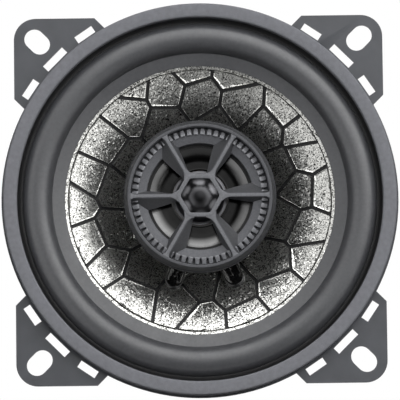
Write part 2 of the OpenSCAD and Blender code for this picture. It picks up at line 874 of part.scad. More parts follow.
module tinsel_lead_negative() {
    color([0.70, 0.55, 0.35]) upright() mirror([1, 0, 0]) tube(tinsel_route(), tinsel_d);
}

module tweeter_post() {
    stem_r = post_d / 2;
    top_flange_r = socket_r_out - 2;
    flare = 2;
    foot_top_z = plate_front + post_foot_t;
    well_floor = cup_back - capacitor_len;
    color(tweeter_grey) upright() difference() {
        rotate_extrude() polygon([
            [0, plate_front - spigot_len], [spigot_r, plate_front - spigot_len], [spigot_r, plate_front],
            [post_foot_d / 2, plate_front], [post_foot_d / 2, foot_top_z],
            [stem_r + flare, foot_top_z], [stem_r, foot_top_z + flare],
            [stem_r, cup_back - 2 * flare], [top_flange_r, cup_back - flare / 2],
            [top_flange_r, cup_back], [neck_spigot_r, cup_back],
            [neck_spigot_r, cup_inside - play], [0, cup_inside - play],
        ]);
        bar(capacitor_well_r, well_floor, cup_inside + cut);
        bar(screw_d / 2 + play, plate_front - spigot_len - cut, screw_tip + 1);
    }
}

module post_screw() {
    head_back = washer_seat - washer_t - screw_head_h;
    recess_depth = 1.2;
    color(zinc) upright() difference() {
        union() {
            bar(screw_d / 2, washer_seat - washer_t - weld, screw_tip);
            bar(screw_head_d / 2, head_back, washer_seat - washer_t);
        }
        translate([0, 0, head_back - cut]) for (q = [0, 90]) rotate(q)
            translate([-screw_head_d / 3, -0.4, 0]) cube([screw_head_d / 1.5, 0.8, recess_depth + cut]);
    }
}

module post_washer() {
    color(zinc) upright() ring(screw_d / 2 + 2 * play, washer_d / 2, washer_seat - washer_t, washer_seat);
}

module capacitor() {
    color([0.20, 0.24, 0.36]) upright() bar(capacitor_d / 2, cup_back - capacitor_len, cup_back);
}

// The route of a tweeter lead, from the post down to the top of a glue dab
function tweeter_lead_route() =
    let (
        a = dab_angle,
        end_r = relief_r_in + 2 * tweeter_lead_d,
        end_z = cone_z(end_r) + dab_h + 1.2 * tweeter_lead_d,
        start_r = post_d / 2 + tweeter_lead_d / 2 + glue_gap,
        span = end_r - start_r,
        sag = 3 * tweeter_lead_d
    )
    [for (p = smooth_route([
        [0, -start_r, end_z + sag / 2], [0, -start_r - 0.08 * span, end_z - 0.4 * sag],
        [0, -start_r - 0.25 * span, end_z - 0.8 * sag], [0, -start_r - 0.5 * span, end_z - 0.7 * sag],
        [0, -start_r - 0.8 * span, end_z - 0.2 * sag], [0, -end_r, end_z],
    ], 3)) [p.x - p.y * sin(a), p.y * cos(a), p.z]];

module tweeter_leads() {
    color(gloss_black) upright() for (side = [0, 1]) mirror([side, 0, 0])
        tube(tweeter_lead_route(), tweeter_lead_d);
}

module tweeter_cup() {
    chamfer = 3;
    color(tweeter_grey) upright() rotate_extrude() polygon([
        [neck_spigot_r + play, cup_back], [cup_r - chamfer, cup_back], [cup_r, cup_back + chamfer],
        [cup_r, shelf_bottom], [cup_r - cup_wall, shelf_bottom],
        [cup_r - cup_wall, cup_inside + chamfer / 2], [cup_r - chamfer, cup_inside],
        [socket_r_out, cup_inside], [socket_r_out, cup_top], [pot_r + play, cup_top],
        [pot_r + play, cup_inside], [neck_spigot_r + play, cup_inside],
    ]);
}

module tweeter_pot() {
    color(zinc) upright() rotate_extrude() polygon([
        [0, cup_inside], [pot_r, cup_inside], [pot_r, button_top],
        [pot_bore_r, button_top], [pot_bore_r, button_floor], [0, button_floor],
    ]);
}

module tweeter_magnet() {
    color([0.60, 0.60, 0.60]) upright()
        bar(button_r - 0.4, button_floor, button_floor + button_magnet_t);
}

module tweeter_pole_plate() {
    color(zinc) upright() bar(button_r, button_top - button_plate_t, button_top);
}

module tweeter_coil() {
    color([0.72, 0.40, 0.22]) upright()
        ring(small_former_r, small_former_r + small_winding_t, cup_top - small_coil_h, cup_top);
}

module tweeter_dome() {
    rim = dome_r + small_winding_t + film_t;
    r = (dome_r * dome_r + dome_h * dome_h) / (2 * dome_h);
    color(gloss_black) upright() {
        ring(dome_r - film_t, rim, cup_top, cup_top + film_t);
        difference() {
            translate([0, 0, cup_top + dome_h - r]) sphere(r);
            translate([0, 0, cup_top + dome_h - r]) sphere(r - film_t);
            bar(2 * r, cup_top + dome_h - 2 * r - cut, cup_top);
        }
    }
}

module tweeter_edge() {
    top = cup_top + film_t;
    inner_foot = 0.4;
    steps = 14;
    // A roll whose crest lies nearer to its outer foot
    roll = [
        for (k = [0 : steps])
            [edge_r_out - (edge_w - inner_foot) * k / steps, top + edge_roll_h * sin(180 * sqrt(k / steps))]
    ];
    path = concat([[socket_r_out - play, top]], roll, [[edge_r_in, top]]);
    color([0.45, 0.45, 0.45]) upright() revolved_sheet(path, film_t);
}

module clamp_ring() {
    color(gloss_black) upright()
        ring(shelf_r_in, clamp_r_out, clamp_bottom, shelf_bottom);
}

// The bezel's rim, wall and shelf as one profile
module bezel_body() {
    skirt = shelf_bottom - 3;
    rim = rounded([
        [tweeter_r - 0.3, skirt], [tweeter_r, tweeter_front - bezel_slant_h],
        [tweeter_r - bezel_slant_w, tweeter_front], [bezel_r_in, tweeter_front],
        [bezel_r_in - 0.2, shelf_top],
    ], 0.35);
    groove_r_in = bezel_r_in - tooth_len + 0.2;
    rotate_extrude() polygon(concat(rim, [
        [bezel_r_in - 0.2, shelf_top - tooth_groove], [groove_r_in, shelf_top - tooth_groove],
        [groove_r_in, shelf_top],
        [shelf_r_in, shelf_top], [shelf_r_in, shelf_bottom],
        [skirt_r, shelf_bottom], [skirt_r, skirt],
    ]));
}

// The ring of small teeth on the shelf, with sloped tops
module bezel_teeth() {
    r_in = bezel_r_in - 0.2 - tooth_len;
    intersection() {
        rotate_extrude() polygon([
            [r_in, shelf_top - tooth_groove - weld], [bezel_r_in + weld, shelf_top - tooth_groove - weld],
            [bezel_r_in + weld, tweeter_front - 0.9], [bezel_r_in - 0.2, tweeter_front - 0.9],
            [r_in, shelf_top + 0.9],
        ]);
        translate([0, 0, shelf_top - cut]) linear_extrude(2 * shelf_drop)
            for (k = [0 : tooth_count - 1]) rotate(360 * (k + 0.5) / tooth_count)
                translate([r_in - cut, -tooth_w / 2]) square([tooth_len + 2 * cut, tooth_w]);
    }
}

// One slanted spoke along x, from the hub to the rim
module spoke() {
    half = spoke_w / 2;
    top = tweeter_front - 0.1;
    low = shelf_top - weld;
    // Sections from the hub over the shelf's edge to the rim: radius, bottom, wide flank, steep flank
    stations = [
        [hub_opening_r + hub_wall / 2, tweeter_front - hub_h, 3 * half, 2 * half],
        [shelf_r_in + 0.4, low, spoke_lean, spoke_back],
        [bezel_r_in + 0.3, low, 2.4 * half, 2 * half],
    ];
    points = [
        for (s = stations)
            each [[s[0], -half, top], [s[0], half, top], [s[0], s[2], s[1]], [s[0], -s[3], s[1]]]
    ];
    walls = [
        for (i = [0, 1], k = [0 : 3])
            let (a = 4 * i + k, b = 4 * i + (k + 1) % 4)
            each [[a, b, b + 4], [a, b + 4, a + 4]]
    ];
    polyhedron(points, concat(walls, [[3, 2, 1, 0], [8, 9, 10, 11]]));
}

// The hub and the spokes' top edges in plan, with fillets where they meet
module web_outline() {
    hub_r = hub_opening_r + hub_wall * 2 / sqrt(3);
    fillet = 1;
    offset(r = -fillet, $fn = 24) offset(delta = fillet) {
        circle(hub_r, $fn = spoke_count);
        for (k = [0 : spoke_count - 1]) rotate(360 / spoke_count * k)
            translate([0, -spoke_w / 2]) square([hub_r + 3 * fillet, spoke_w]);
    }
}

module tweeter_bezel() {
    color(tweeter_grey) upright() {
        bezel_body();
        bezel_teeth();
        for (k = [0 : spoke_count - 1]) rotate(360 / spoke_count * k) spoke();
        translate([0, 0, tweeter_front - hub_h]) linear_extrude(hub_h) difference() {
            web_outline();
            circle(hub_opening_r, $fn = spoke_count);
        }
    }
}

basket();
gasket();
surround();
cone();
glue_dabs();
coil_former();
voice_coil();
spider();
top_plate();
magnet();
yoke();
basket_rivets();
terminal_board();
terminal_positive();
terminal_negative();
terminal_rivets();
tinsel_lead_positive();
tinsel_lead_negative();
tweeter_post();
post_screw();
post_washer();
capacitor();
tweeter_leads();
tweeter_cup();
tweeter_pot();
tweeter_magnet();
tweeter_pole_plate();
tweeter_coil();
tweeter_dome();
tweeter_edge();
clamp_ring();
tweeter_bezel();
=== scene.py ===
"""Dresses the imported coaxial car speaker: fine surfaces, finishes, studio light and the camera.

Shapes are worked out about the speaker's axis in millimetres: x to the right, y up and z towards the
listener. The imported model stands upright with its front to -Y, so (x, y, z) becomes (x, -z, y). Sizes
are in millimetres where nothing else is said.
"""

import logging
import math
from dataclasses import dataclass
from enum import Enum
from typing import Any

import bmesh
import bpy
import numpy as np
from mathutils import Matrix, Vector

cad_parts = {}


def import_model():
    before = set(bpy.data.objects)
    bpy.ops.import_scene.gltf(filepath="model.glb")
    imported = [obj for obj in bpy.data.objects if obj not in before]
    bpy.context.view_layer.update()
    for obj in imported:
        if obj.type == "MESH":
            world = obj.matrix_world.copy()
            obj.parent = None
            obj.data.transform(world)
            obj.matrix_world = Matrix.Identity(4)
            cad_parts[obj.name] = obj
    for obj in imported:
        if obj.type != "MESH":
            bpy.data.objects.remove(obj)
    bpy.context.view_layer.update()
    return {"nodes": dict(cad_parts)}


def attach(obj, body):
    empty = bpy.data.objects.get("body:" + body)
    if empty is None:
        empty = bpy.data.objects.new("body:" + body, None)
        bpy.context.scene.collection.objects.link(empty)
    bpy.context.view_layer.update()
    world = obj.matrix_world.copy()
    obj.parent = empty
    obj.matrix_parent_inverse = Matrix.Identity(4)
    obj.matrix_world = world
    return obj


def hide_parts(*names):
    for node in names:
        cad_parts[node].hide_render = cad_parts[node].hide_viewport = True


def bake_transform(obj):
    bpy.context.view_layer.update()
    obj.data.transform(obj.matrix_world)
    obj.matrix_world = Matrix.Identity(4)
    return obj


LOG = logging.getLogger("speaker")
MM = 0.001
TINY = 1e-6

Colour = tuple[float, float, float]
Point = tuple[float, float, float]
Table = tuple[tuple[float, ...], ...]
Item = bpy.types.Object
Socket = bpy.types.NodeSocket


class Body(Enum):
    """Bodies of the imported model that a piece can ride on."""

    FRAME = "frame"
    CONE = "cone"
    DOME = "dome"


class Way(Enum):
    """What a painted shade across a piece follows."""

    RADIUS = "distance from the axis"
    HEIGHT = "distance towards the listener"


class Pattern(Enum):
    """Ways in which a grain lies on a surface."""

    SPECKLE = "speckle"
    TURNED = "turned"
    WOUND = "wound"
    WOVEN = "woven"


def linear(colour: tuple[int, int, int]) -> np.ndarray:
    """Turns a display colour of 0 to 255 into linear light, by the usual curve of a screen."""
    shown = np.array(colour) / 255.0
    return np.where(shown <= 0.04045, shown / 12.92, ((shown + 0.055) / 1.055) ** 2.4)


# Surfaces: functions of two parameters, as whole arrays in the axis frame


def round_steps(count: int) -> np.ndarray:
    """Gives evenly spaced angles once round the axis."""
    return np.linspace(0.0, 2.0 * math.pi, count, endpoint=False)


def pairs(first: np.ndarray, second: np.ndarray) -> np.ndarray:
    """Joins two rows of numbers into points, such as (radius, height)."""
    return np.stack([first, second], axis=-1)


@dataclass
class Surface:
    """A closed sheet of points with the four-sided faces that join them."""

    points: np.ndarray
    faces: np.ndarray

    @classmethod
    def from_grids(cls, grids: np.ndarray, wrap_rows: bool = False) -> "Surface":
        """Joins grids of points, all of one size, whose last column meets the first.

        Args:
            grids: Points as (grid, row, column, 3).
            wrap_rows: Whether the last row of a grid joins its first.

        Returns:
            All the grids as one surface.
        """
        count, rows, columns, _ = grids.shape
        i = np.arange(rows if wrap_rows else rows - 1)[:, None]
        j = np.arange(columns)[None, :]
        i_next, j_next = (i + 1) % rows, (j + 1) % columns
        corners = [i * columns + j, i * columns + j_next, i_next * columns + j_next, i_next * columns + j]
        faces = np.stack(np.broadcast_arrays(*corners), axis=-1).reshape(1, -1, 4)
        starts = np.arange(count)[:, None, None] * rows * columns
        return cls(grids.reshape(-1, 3), (faces + starts).reshape(-1, 4))


def lathe(profile: np.ndarray, segments: int, reach: np.ndarray | float = 0.0) -> Surface:
    """Carries a closed profile of (radius, height) once round the axis.

    Args:
        profile: Points of the closed profile.
        segments: Number of steps round the axis.
        reach: Distance by which the profile is moved outwards, for all angles or at each.

    Returns:
        The ring: (r cos a, r sin a, z) for each profile point and each angle a.
    """
    angle = round_steps(segments)
    r = reach + profile[:, 0][:, None]
    z = np.broadcast_to(profile[:, 1][:, None], (len(profile), segments))
    points = np.stack([r * np.cos(angle), r * np.sin(angle), z], axis=-1)
    return Surface.from_grids(points[None], wrap_rows=True)


def spun(grid: np.ndarray, count: int, first: float = 0.0) -> np.ndarray:
    """Sets copies of a grid of points evenly round the axis.

    Args:
        grid: Points as (row, column, 3).
        count: Number of copies.
        first: Place of the first copy, in steps from the x direction.

    Returns:
        Points as (copy, row, column, 3), each copy turned by its own angle.
    """
    angle = 2.0 * math.pi * (np.arange(count) + first) / count
    cos, sin = np.cos(angle)[:, None, None], np.sin(angle)[:, None, None]
    x, y, z = np.moveaxis(grid, -1, 0)
    return np.stack([x * cos - y * sin, x * sin + y * cos, np.broadcast_to(z, (count, *z.shape))], axis=-1)


def capped(grid: np.ndarray, first: np.ndarray, last: np.ndarray) -> np.ndarray:
    """Closes a grid of points with a row at each end whose points are all the same."""
    row = grid[:1].shape
    return np.concatenate([np.broadcast_to(first, row), grid, np.broadcast_to(last, row)])


def rope(route: np.ndarray, radius: float, strands: int, pitch: float) -> Surface:
    """Carries a lobed circle along a route, turning as it goes, and closes both ends in a point.

    Args:
        route: Points of the centre line.
        radius: Radius over the strands.
        strands: Number of strands that show round the rope.
        pitch: Length in which a strand goes once round.

    Returns:
        The closed rope. At angle a and length s along it the radius dips by (1 - cos(n a + turn s)) / 2.
    """
    sides, dip = 18, 0.11
    step = np.linalg.norm(np.diff(route, axis=0), axis=1)
    length = np.concatenate([[0.0], np.cumsum(step)])
    along = np.gradient(route, axis=0)
    along /= np.linalg.norm(along, axis=1, keepdims=True)
    across = np.cross(along, [1.0, 0.0, 0.0])
    across /= np.linalg.norm(across, axis=1, keepdims=True)
    over = np.cross(along, across)
    turn = round_steps(sides)
    phase = strands * (turn[None] + 2.0 * math.pi * length[:, None] / pitch)
    size = radius * (1.0 - dip * (1.0 - np.cos(phase)))
    ring = np.cos(turn)[None, :, None] * across[:, None] + np.sin(turn)[None, :, None] * over[:, None]
    points = route[:, None] + size[..., None] * ring
    return Surface.from_grids(capped(points, route[0], route[-1])[None])


def smooth_route(knots: np.ndarray, steps: int) -> np.ndarray:
    """Runs a smooth curve through every knot (a Catmull-Rom curve).

    Args:
        knots: Points that the curve goes through.
        steps: Steps from each knot to the next.

    Returns:
        The points of the curve.
    """
    padded = np.concatenate([knots[:1], knots, knots[-1:]])
    t = np.linspace(0.0, 1.0, steps, endpoint=False)[None, :, None]
    a, b, c, d = (padded[k : len(padded) - 3 + k][:, None] for k in range(4))
    curve = b + t * (c - a) / 2 + t**2 * (a - 2.5 * b + 2 * c - d / 2) + t**3 * (1.5 * (b - c) + (d - a) / 2)
    return np.concatenate([curve.reshape(-1, 3), knots[-1:]])


def offset_path(path: np.ndarray, distance: float) -> np.ndarray:
    """Shifts an open path sideways, to its left, along the mitre at each point.

    Args:
        path: Points of (radius, height).
        distance: How far the path moves.

    Returns:
        The shifted points.
    """
    step = np.diff(path, axis=0)
    step /= np.linalg.norm(step, axis=1, keepdims=True)
    left = pairs(-step[:, 1], step[:, 0])
    before = np.concatenate([left[:1], left])
    mitre = before + np.concatenate([left, left[-1:]])
    mitre /= np.linalg.norm(mitre, axis=1, keepdims=True)
    return path + distance * mitre / np.sum(mitre * before, axis=1, keepdims=True)


def sheet_profile(path: np.ndarray, thickness: float) -> np.ndarray:
    """Closes an open path and its shifted copy into the profile of a thin sheet."""
    return np.concatenate([path, offset_path(path, thickness)[::-1]])


def rounded(corners: list[tuple[float, float, float]], steps: int = 5) -> np.ndarray:
    """Rounds each corner of a closed profile with an arc.

    Args:
        corners: (radius, height, corner radius) of each corner.
        steps: Points along each arc.

    Returns:
        The points of the rounded profile: at each corner a curve from one tangent point to the other.
    """
    data = np.array(corners)
    place = data[:, :2]
    to_last = np.roll(place, 1, axis=0) - place
    to_next = np.roll(place, -1, axis=0) - place
    last_len = np.linalg.norm(to_last, axis=1, keepdims=True)
    next_len = np.linalg.norm(to_next, axis=1, keepdims=True)
    to_last, to_next = to_last / last_len, to_next / next_len
    half = np.arccos(np.clip(np.sum(to_last * to_next, axis=1), -1, 1)) / 2
    reach = data[:, 2] / np.tan(np.maximum(half, 1e-3))
    # An arc takes up just less than half of each side
    reach = np.minimum(reach, 0.49 * np.minimum(last_len, next_len)[:, 0])[:, None]
    start, end = ((place + way * reach)[:, None] for way in (to_last, to_next))
    # A rational curve with the half-angle's sine as weight is the exact arc
    bow = np.linspace(0.0, 1.0, steps)[None, :, None]
    pull = 2 * np.sin(half)[:, None, None] * bow * (1 - bow)
    curve = (1 - bow) ** 2 * start + pull * place[:, None] + bow**2 * end
    return (curve / ((1 - bow) ** 2 + pull + bow**2)).reshape(-1, 2)


def hump(outer: float, level: float, width: float, height: float, steps: int) -> np.ndarray:
    """Gives the arc of a half-roll, from its outer foot to its inner foot.

    Args:
        outer: Radius of the outer foot.
        level: Height of both feet.
        width: Distance between the feet.
        height: Rise of the crest above the feet.
        steps: Steps along the arc.

    Returns:
        Points of (radius, height) on the circle through both feet and the crest.
    """
    r = (width**2 / 4 + height**2) / (2 * height)
    reach = math.asin(min(1.0, width / 2 / r))
    span = math.pi - reach if height > width / 2 else reach
    turn = span * np.linspace(1.0, -1.0, steps + 1)
    return pairs(outer - width / 2 + r * np.sin(turn), level + height - r + r * np.cos(turn))


def slab(half: float, level: float, near: float, far: float, thickness: float) -> Surface:
    """Gives a flat slab: four corners, and the same corners lower down.

    Args:
        half: Half its width.
        level: Height of its upper face.
        near: Where it starts along the axis.
        far: Where it ends along the axis.
        thickness: Its thickness.

    Returns:
        The closed slab.
    """
    top = np.array([[-half, level, near], [half, level, near], [half, level, far], [-half, level, far]])
    under = top - np.array([0.0, thickness, 0.0])
    sides = [[i, (i + 1) % 4, 4 + (i + 1) % 4, 4 + i] for i in range(4)]
    return Surface(np.concatenate([top, under]), np.array([[0, 1, 2, 3], [7, 6, 5, 4], *sides]))


def place(name: str, data: bpy.types.ID) -> Item:
    """Puts a mesh, lamp or camera into the scene.

    Args:
        name: Name of the object.
        data: What the object shows.

    Returns:
        The new object, at the origin.
    """
    item = bpy.data.objects.new(name, data)
    bpy.context.scene.collection.objects.link(item)
    return item


def place_mesh(name: str, mesh: bpy.types.Mesh, sharp: float) -> Item:
    """Shades a mesh smooth but for its sharp edges, and puts it into the scene.

    Args:
        name: Name of the piece.
        mesh: Its mesh.
        sharp: Angle in degrees past which an edge stays sharp.

    Returns:
        The new object.
    """
    mesh.shade_smooth()
    mesh.set_sharp_from_angle(angle=math.radians(sharp))
    return place(name, mesh)


def make_object(name: str, surfaces: list[Surface], sharp: float = 40.0) -> Item:
    """Puts closed surfaces into one mesh object at the origin.

    Args:
        name: Name of the piece.
        surfaces: Closed surfaces in the axis frame, in millimetres.
        sharp: Angle in degrees past which an edge stays sharp.

    Returns:
        The new object, with its doubles merged and its faces pointing outwards.
    """
    starts = np.cumsum([0] + [len(s.points) for s in surfaces[:-1]])
    points = np.concatenate([s.points for s in surfaces])
    faces = np.concatenate([s.faces + n for s, n in zip(surfaces, starts)]).astype(np.int32)
    places = np.stack([points[:, 0], -points[:, 2], points[:, 1]], axis=1) * MM
    mesh = bpy.data.meshes.new(name)
    mesh.vertices.add(len(places))
    mesh.vertices.foreach_set("co", places.ravel())
    mesh.loops.add(faces.size)
    mesh.loops.foreach_set("vertex_index", faces.ravel())
    mesh.polygons.add(len(faces))
    mesh.polygons.foreach_set("loop_start", np.arange(0, faces.size, 4, dtype=np.int32))
    mesh.update(calc_edges=True)
    work = bmesh.new()
    work.from_mesh(mesh)
    bmesh.ops.remove_doubles(work, verts=work.verts, dist=1e-7)
    bmesh.ops.recalc_face_normals(work, faces=work.faces)
    work.to_mesh(mesh)
    work.free()
    return place_mesh(name, mesh, sharp)


def mesh_points(item: Item) -> np.ndarray:
    """Reads an object's vertices back from its mesh.

    Args:
        item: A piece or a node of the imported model.

    Returns:
        Its points in the axis frame, in millimetres.
    """
    flat = np.empty(len(item.data.vertices) * 3)
    item.data.vertices.foreach_get("co", flat)
    places = flat.reshape(-1, 3) / MM
    return np.stack([places[:, 0], places[:, 2], -places[:, 1]], axis=1)


def axis_distance(item: Item) -> np.ndarray:
    """Gives the distance of each vertex from the axis, in millimetres."""
    points = mesh_points(item)
    return np.hypot(points[:, 0], points[:, 1])


def share_along(item: Item, routes: np.ndarray) -> np.ndarray:
    """Tells how far along its route each vertex of a rope lies.

    Args:
        item: A piece with one rope or more.
        routes: Points of their centre lines as (rope, point, 3).

    Returns:
        The share at the nearest point of any route, from 0 at the start to 1 at the end.
    """
    count = routes.shape[1]
    away = mesh_points(item)[:, None] - routes.reshape(-1, 3)[None]
    nearest = np.argmin(np.linalg.norm(away, axis=2), axis=1) % count
    return nearest / (count - 1)


# Finishes


class Nodes:
    """A node tree, with short calls for the steps that materials and the world share."""

    def __init__(self, tree: bpy.types.NodeTree) -> None:
        """Keeps the tree that the calls work on."""
        self.tree = tree

    def feed(self, node: bpy.types.Node, inputs: dict[str | int, Any]) -> None:
        """Links inputs of a node to sockets, or sets them to constants.

        Args:
            node: The node.
            inputs: Socket or constant for each input, by the input's name or number.
        """
        for key, value in inputs.items():
            if isinstance(value, Socket):
                self.tree.links.new(value, node.inputs[key])
            else:
                node.inputs[key].default_value = value

    def add(self, kind: str, inputs: dict[str | int, Any] | None = None, **settings: Any) -> bpy.types.Node:
        """Adds a node.

        Args:
            kind: Type of the node.
            inputs: Socket or constant for each input that isn't left as it is.
            **settings: Properties of the node.

        Returns:
            The new node.
        """
        node = self.tree.nodes.new(kind)
        for key, value in settings.items():
            setattr(node, key, value)
        self.feed(node, inputs or {})
        return node

    def scalar(self, operation: str, *values: Any) -> Socket:
        """Works out one step of arithmetic from sockets or numbers."""
        return self.add("ShaderNodeMath", dict(enumerate(values)), operation=operation).outputs[0]

    def vector(self, operation: str, *values: Any) -> Socket:
        """Works out one step of vector arithmetic from sockets or constants."""
        inputs = dict(enumerate(values))
        return self.add("ShaderNodeVectorMath", inputs, operation=operation).outputs["Vector"]

    def remap(
        self, value: Socket, low: float, high: float, start: float = 0.3, end: float = 0.7, **settings: Any
    ) -> Socket:
        """Maps a value from start..end to low..high, held at both ends, by a node with these settings."""
        inputs = {"Value": value, "From Min": start, "From Max": end, "To Min": low, "To Max": high}
        return self.add("ShaderNodeMapRange", inputs, **settings).outputs[0]


class Graph(Nodes):
    """The node tree of one material."""

    def __init__(self, name: str) -> None:
        """Makes the material and keeps its shader and the object's coordinates.

        Args:
            name: Name of the material.
        """
        self.material = bpy.data.materials.new(name)
        self.material.use_nodes = True
        super().__init__(self.material.node_tree)
        self.shader = self.tree.nodes["Principled BSDF"]
        self.place = self.add("ShaderNodeTexCoord").outputs["Object"]

    def noise(self, size: float, detail: float) -> Socket:
        """Gives a noise between 0 and 1, with its size in millimetres and its number of finer layers."""
        inputs = {"Vector": self.place, "Scale": 1.0 / (size * MM), "Detail": detail}
        return self.add("ShaderNodeTexNoise", inputs).outputs[0]

    def colours(self, value: Socket, stops: list[tuple[float, Colour]]) -> Socket:
        """Turns a value into a colour by a ramp.

        Args:
            value: The value, from 0 to 1.
            stops: (place, colour) of each stop of the ramp.

        Returns:
            The colour.
        """
        node = self.add("ShaderNodeValToRGB", {"Fac": value})
        band = node.color_ramp.elements
        for _ in range(len(stops) - 2):
            band.new(0.5)
        for element, (position, colour) in zip(band, stops):
            element.position = position
            element.color = (*colour, 1.0)
        return node.outputs["Color"]

    def clouds(self, size: float, detail: float, dark: Colour, light: Colour) -> Socket:
        """Lets a colour stray between a dark and a light tone, by a noise of the given size and detail."""
        return self.colours(self.noise(size, detail), [(0.3, dark), (0.7, light)])

    def bump(self, height: Socket, depth: float) -> Socket:
        """Gives the normal of a surface raised by a height of 0 to 1, with its full depth in millimetres."""
        inputs = {"Height": height, "Strength": 1.0, "Distance": depth * MM}
        return self.add("ShaderNodeBump", inputs).outputs["Normal"]

    def part(self, letter: str) -> Socket:
        """Gives the object's X, Y or Z coordinate in metres."""
        return self.add("ShaderNodeSeparateXYZ", {"Vector": self.place}).outputs[letter]

    def height(self) -> Socket:
        """Gives the distance towards the listener in metres."""
        return self.scalar("MULTIPLY", self.part("Y"), -1.0)

    def radius(self) -> Socket:
        """Gives the distance from the speaker's axis in metres."""
        squares = (self.scalar("POWER", self.part(letter), 2.0) for letter in "XZ")
        return self.scalar("SQRT", self.scalar("ADD", *squares))

    def wave(self, value: Socket, rate: float) -> Socket:
        """Gives the sine of a value times a rate."""
        return self.scalar("SINE", self.scalar("MULTIPLY", value, rate))


@dataclass(frozen=True)
class PaintedShade:
    """Painted shade: a darkening of the colour across a piece, where shade or a dark reflection falls.

    Attributes:
        way: What the change follows.
        dark: Place in millimetres where the colour is darkest.
        full: Place where it is whole.
        low: Share of the colour that is left at the dark place.
    """

    way: Way
    dark: float
    full: float
    low: float

    def share(self, graph: Graph) -> Socket:
        """Gives the share of the colour that the painted shade leaves at each place."""
        distance = graph.radius() if self.way is Way.RADIUS else graph.height()
        return graph.remap(distance, self.low, 1.0, self.dark * MM, self.full * MM)


@dataclass(frozen=True)
class Finish:
    """A surface finish: a mottled colour, uneven gloss, a grain and, where given, painted shade.

    Attributes:
        name: Name of the material.
        slot: The record's material slot.
        colour: Display colour.
        metallic: 1 for bare metal.
        mottle, mottle_size: Share by which the colour strays, and size of its clouds.
        grain, grain_depth: Size and depth of the grain.
        pattern: The way the grain lies.
        coat, coat_roughness: Weight and roughness of a clear gloss coat.
        gloss_spread, gloss_size: Share by which the roughness strays, and size of its clouds in grains.
        shine: Strength of the surface's reflection, 0.5 for plain plastic.
        painted_shade: Painted shade, which darkens the colour across the piece.
    """

    name: str
    slot: str
    colour: tuple[int, int, int]
    roughness: float
    metallic: float = 0.0
    mottle: float = 0.12
    mottle_size: float = 5.0
    grain: float = 0.25
    grain_depth: float = 0.01
    pattern: Pattern = Pattern.SPECKLE
    coat: float = 0.0
    coat_roughness: float = 0.08
    gloss_spread: float = 0.15
    gloss_size: float = 6.0
    shine: float = 0.5
    painted_shade: PaintedShade | None = None

    def grain_height(self, graph: Graph) -> Socket:
        """Gives the grain's height field for the finish's pattern.

        Args:
            graph: The material's node tree.

        Returns:
            A height between 0 and 1: noise, rings of a turned face, turns of a winding or a weave.
        """
        rate = 2.0 * math.pi / (self.grain * MM)
        if self.pattern is Pattern.TURNED:
            return graph.scalar("MULTIPLY_ADD", graph.wave(graph.radius(), rate), 0.5, 0.5)
        if self.pattern is Pattern.WOUND:
            return graph.scalar("ABSOLUTE", graph.wave(graph.part("Y"), rate / 2))
        if self.pattern is Pattern.WOVEN:
            threads = (graph.wave(graph.part(letter), rate) for letter in "XZ")
            return graph.remap(graph.scalar("MULTIPLY", *threads), 0.0, 1.0, -1.0, 1.0)
        return graph.noise(self.grain, 3.0)

    def build(self) -> bpy.types.Material:
        """Makes the material.

        Returns:
            The material, with its colour, roughness and normal worked out by nodes.
        """
        graph = Graph(self.name)
        base = linear(self.colour)
        dark, light = (tuple(np.clip(base * (1 + sign * self.mottle), 0, 1)) for sign in (-1, 1))
        tone = graph.clouds(self.mottle_size, 4.0, dark, light)
        # Painted shade darkens the colour where shade or a dark reflection falls
        if self.painted_shade:
            tone = graph.vector("MULTIPLY", tone, self.painted_shade.share(graph))
        low, high = (self.roughness * (1 + sign * self.gloss_spread) for sign in (-1, 1))
        gloss = graph.noise(self.grain * self.gloss_size, 3.0)
        graph.feed(graph.shader, {
            "Base Color": tone,
            "Roughness": graph.remap(gloss, low, min(high, 1.0)),
            "Normal": graph.bump(self.grain_height(graph), self.grain_depth),
            "Metallic": self.metallic,
            "Specular IOR Level": self.shine,
            "Coat Weight": self.coat,
            "Coat Roughness": self.coat_roughness,
        })
        return graph.material


@dataclass(frozen=True)
class SparkleFinish:
    """Bright vacuum metal on a pebbled skin, which breaks reflections into sparkling grains.

    Attributes:
        name: Name of the material.
        slot: The record's material slot.
        colour: Display colour of the metal.
        grain: Size of the grains.
        tilt: Largest lean of a grain's facet, as a slope. Most lean far less, by the cube of an even spread.
        roughness: Roughness of each facet.
        shades: Share of the metal's brightness in the dullest, the middle and the brightest grains.
        places: Where those three lie when all grains are put in order from 0 to 1.
        metallic: Share of bare metal, the rest being its binder.
    """

    name: str
    slot: str
    colour: tuple[int, int, int]
    grain: float = 0.24
    tilt: float = 0.23
    roughness: float = 0.28
    shades: tuple[float, float, float] = (0.04, 0.88, 1.3)
    places: tuple[float, float, float] = (0.08, 0.36, 0.9)
    metallic: float = 0.97

    def build(self) -> bpy.types.Material:
        """Makes the material: every grain is a facet with its own lean and its own shade.

        Returns:
            The metal's material.
        """
        graph = Graph(self.name)
        inputs = {"Vector": graph.place, "Scale": 1.0 / (self.grain * MM)}
        grains = graph.add("ShaderNodeTexVoronoi", inputs).outputs["Color"]
        shade = graph.add("ShaderNodeSeparateColor", {"Color": grains}).outputs["Red"]
        base = linear(self.colour)
        stops = [(at, tuple(np.minimum(base * share, 1.0))) for at, share in zip(self.places, self.shades)]
        spread = graph.vector("MULTIPLY_ADD", grains, (2.0, 2.0, 2.0), (-1.0, -1.0, -1.0))
        cube = graph.vector("MULTIPLY", graph.vector("MULTIPLY", spread, spread), spread)
        upright = graph.add("ShaderNodeNewGeometry").outputs["Normal"]
        facet = graph.vector("MULTIPLY_ADD", cube, (self.tilt,) * 3, upright)
        graph.feed(graph.shader, {
            "Base Color": graph.colours(shade, stops),
            "Normal": graph.vector("NORMALIZE", facet),
            "Roughness": self.roughness,
            "Metallic": self.metallic,
        })
        return graph.material


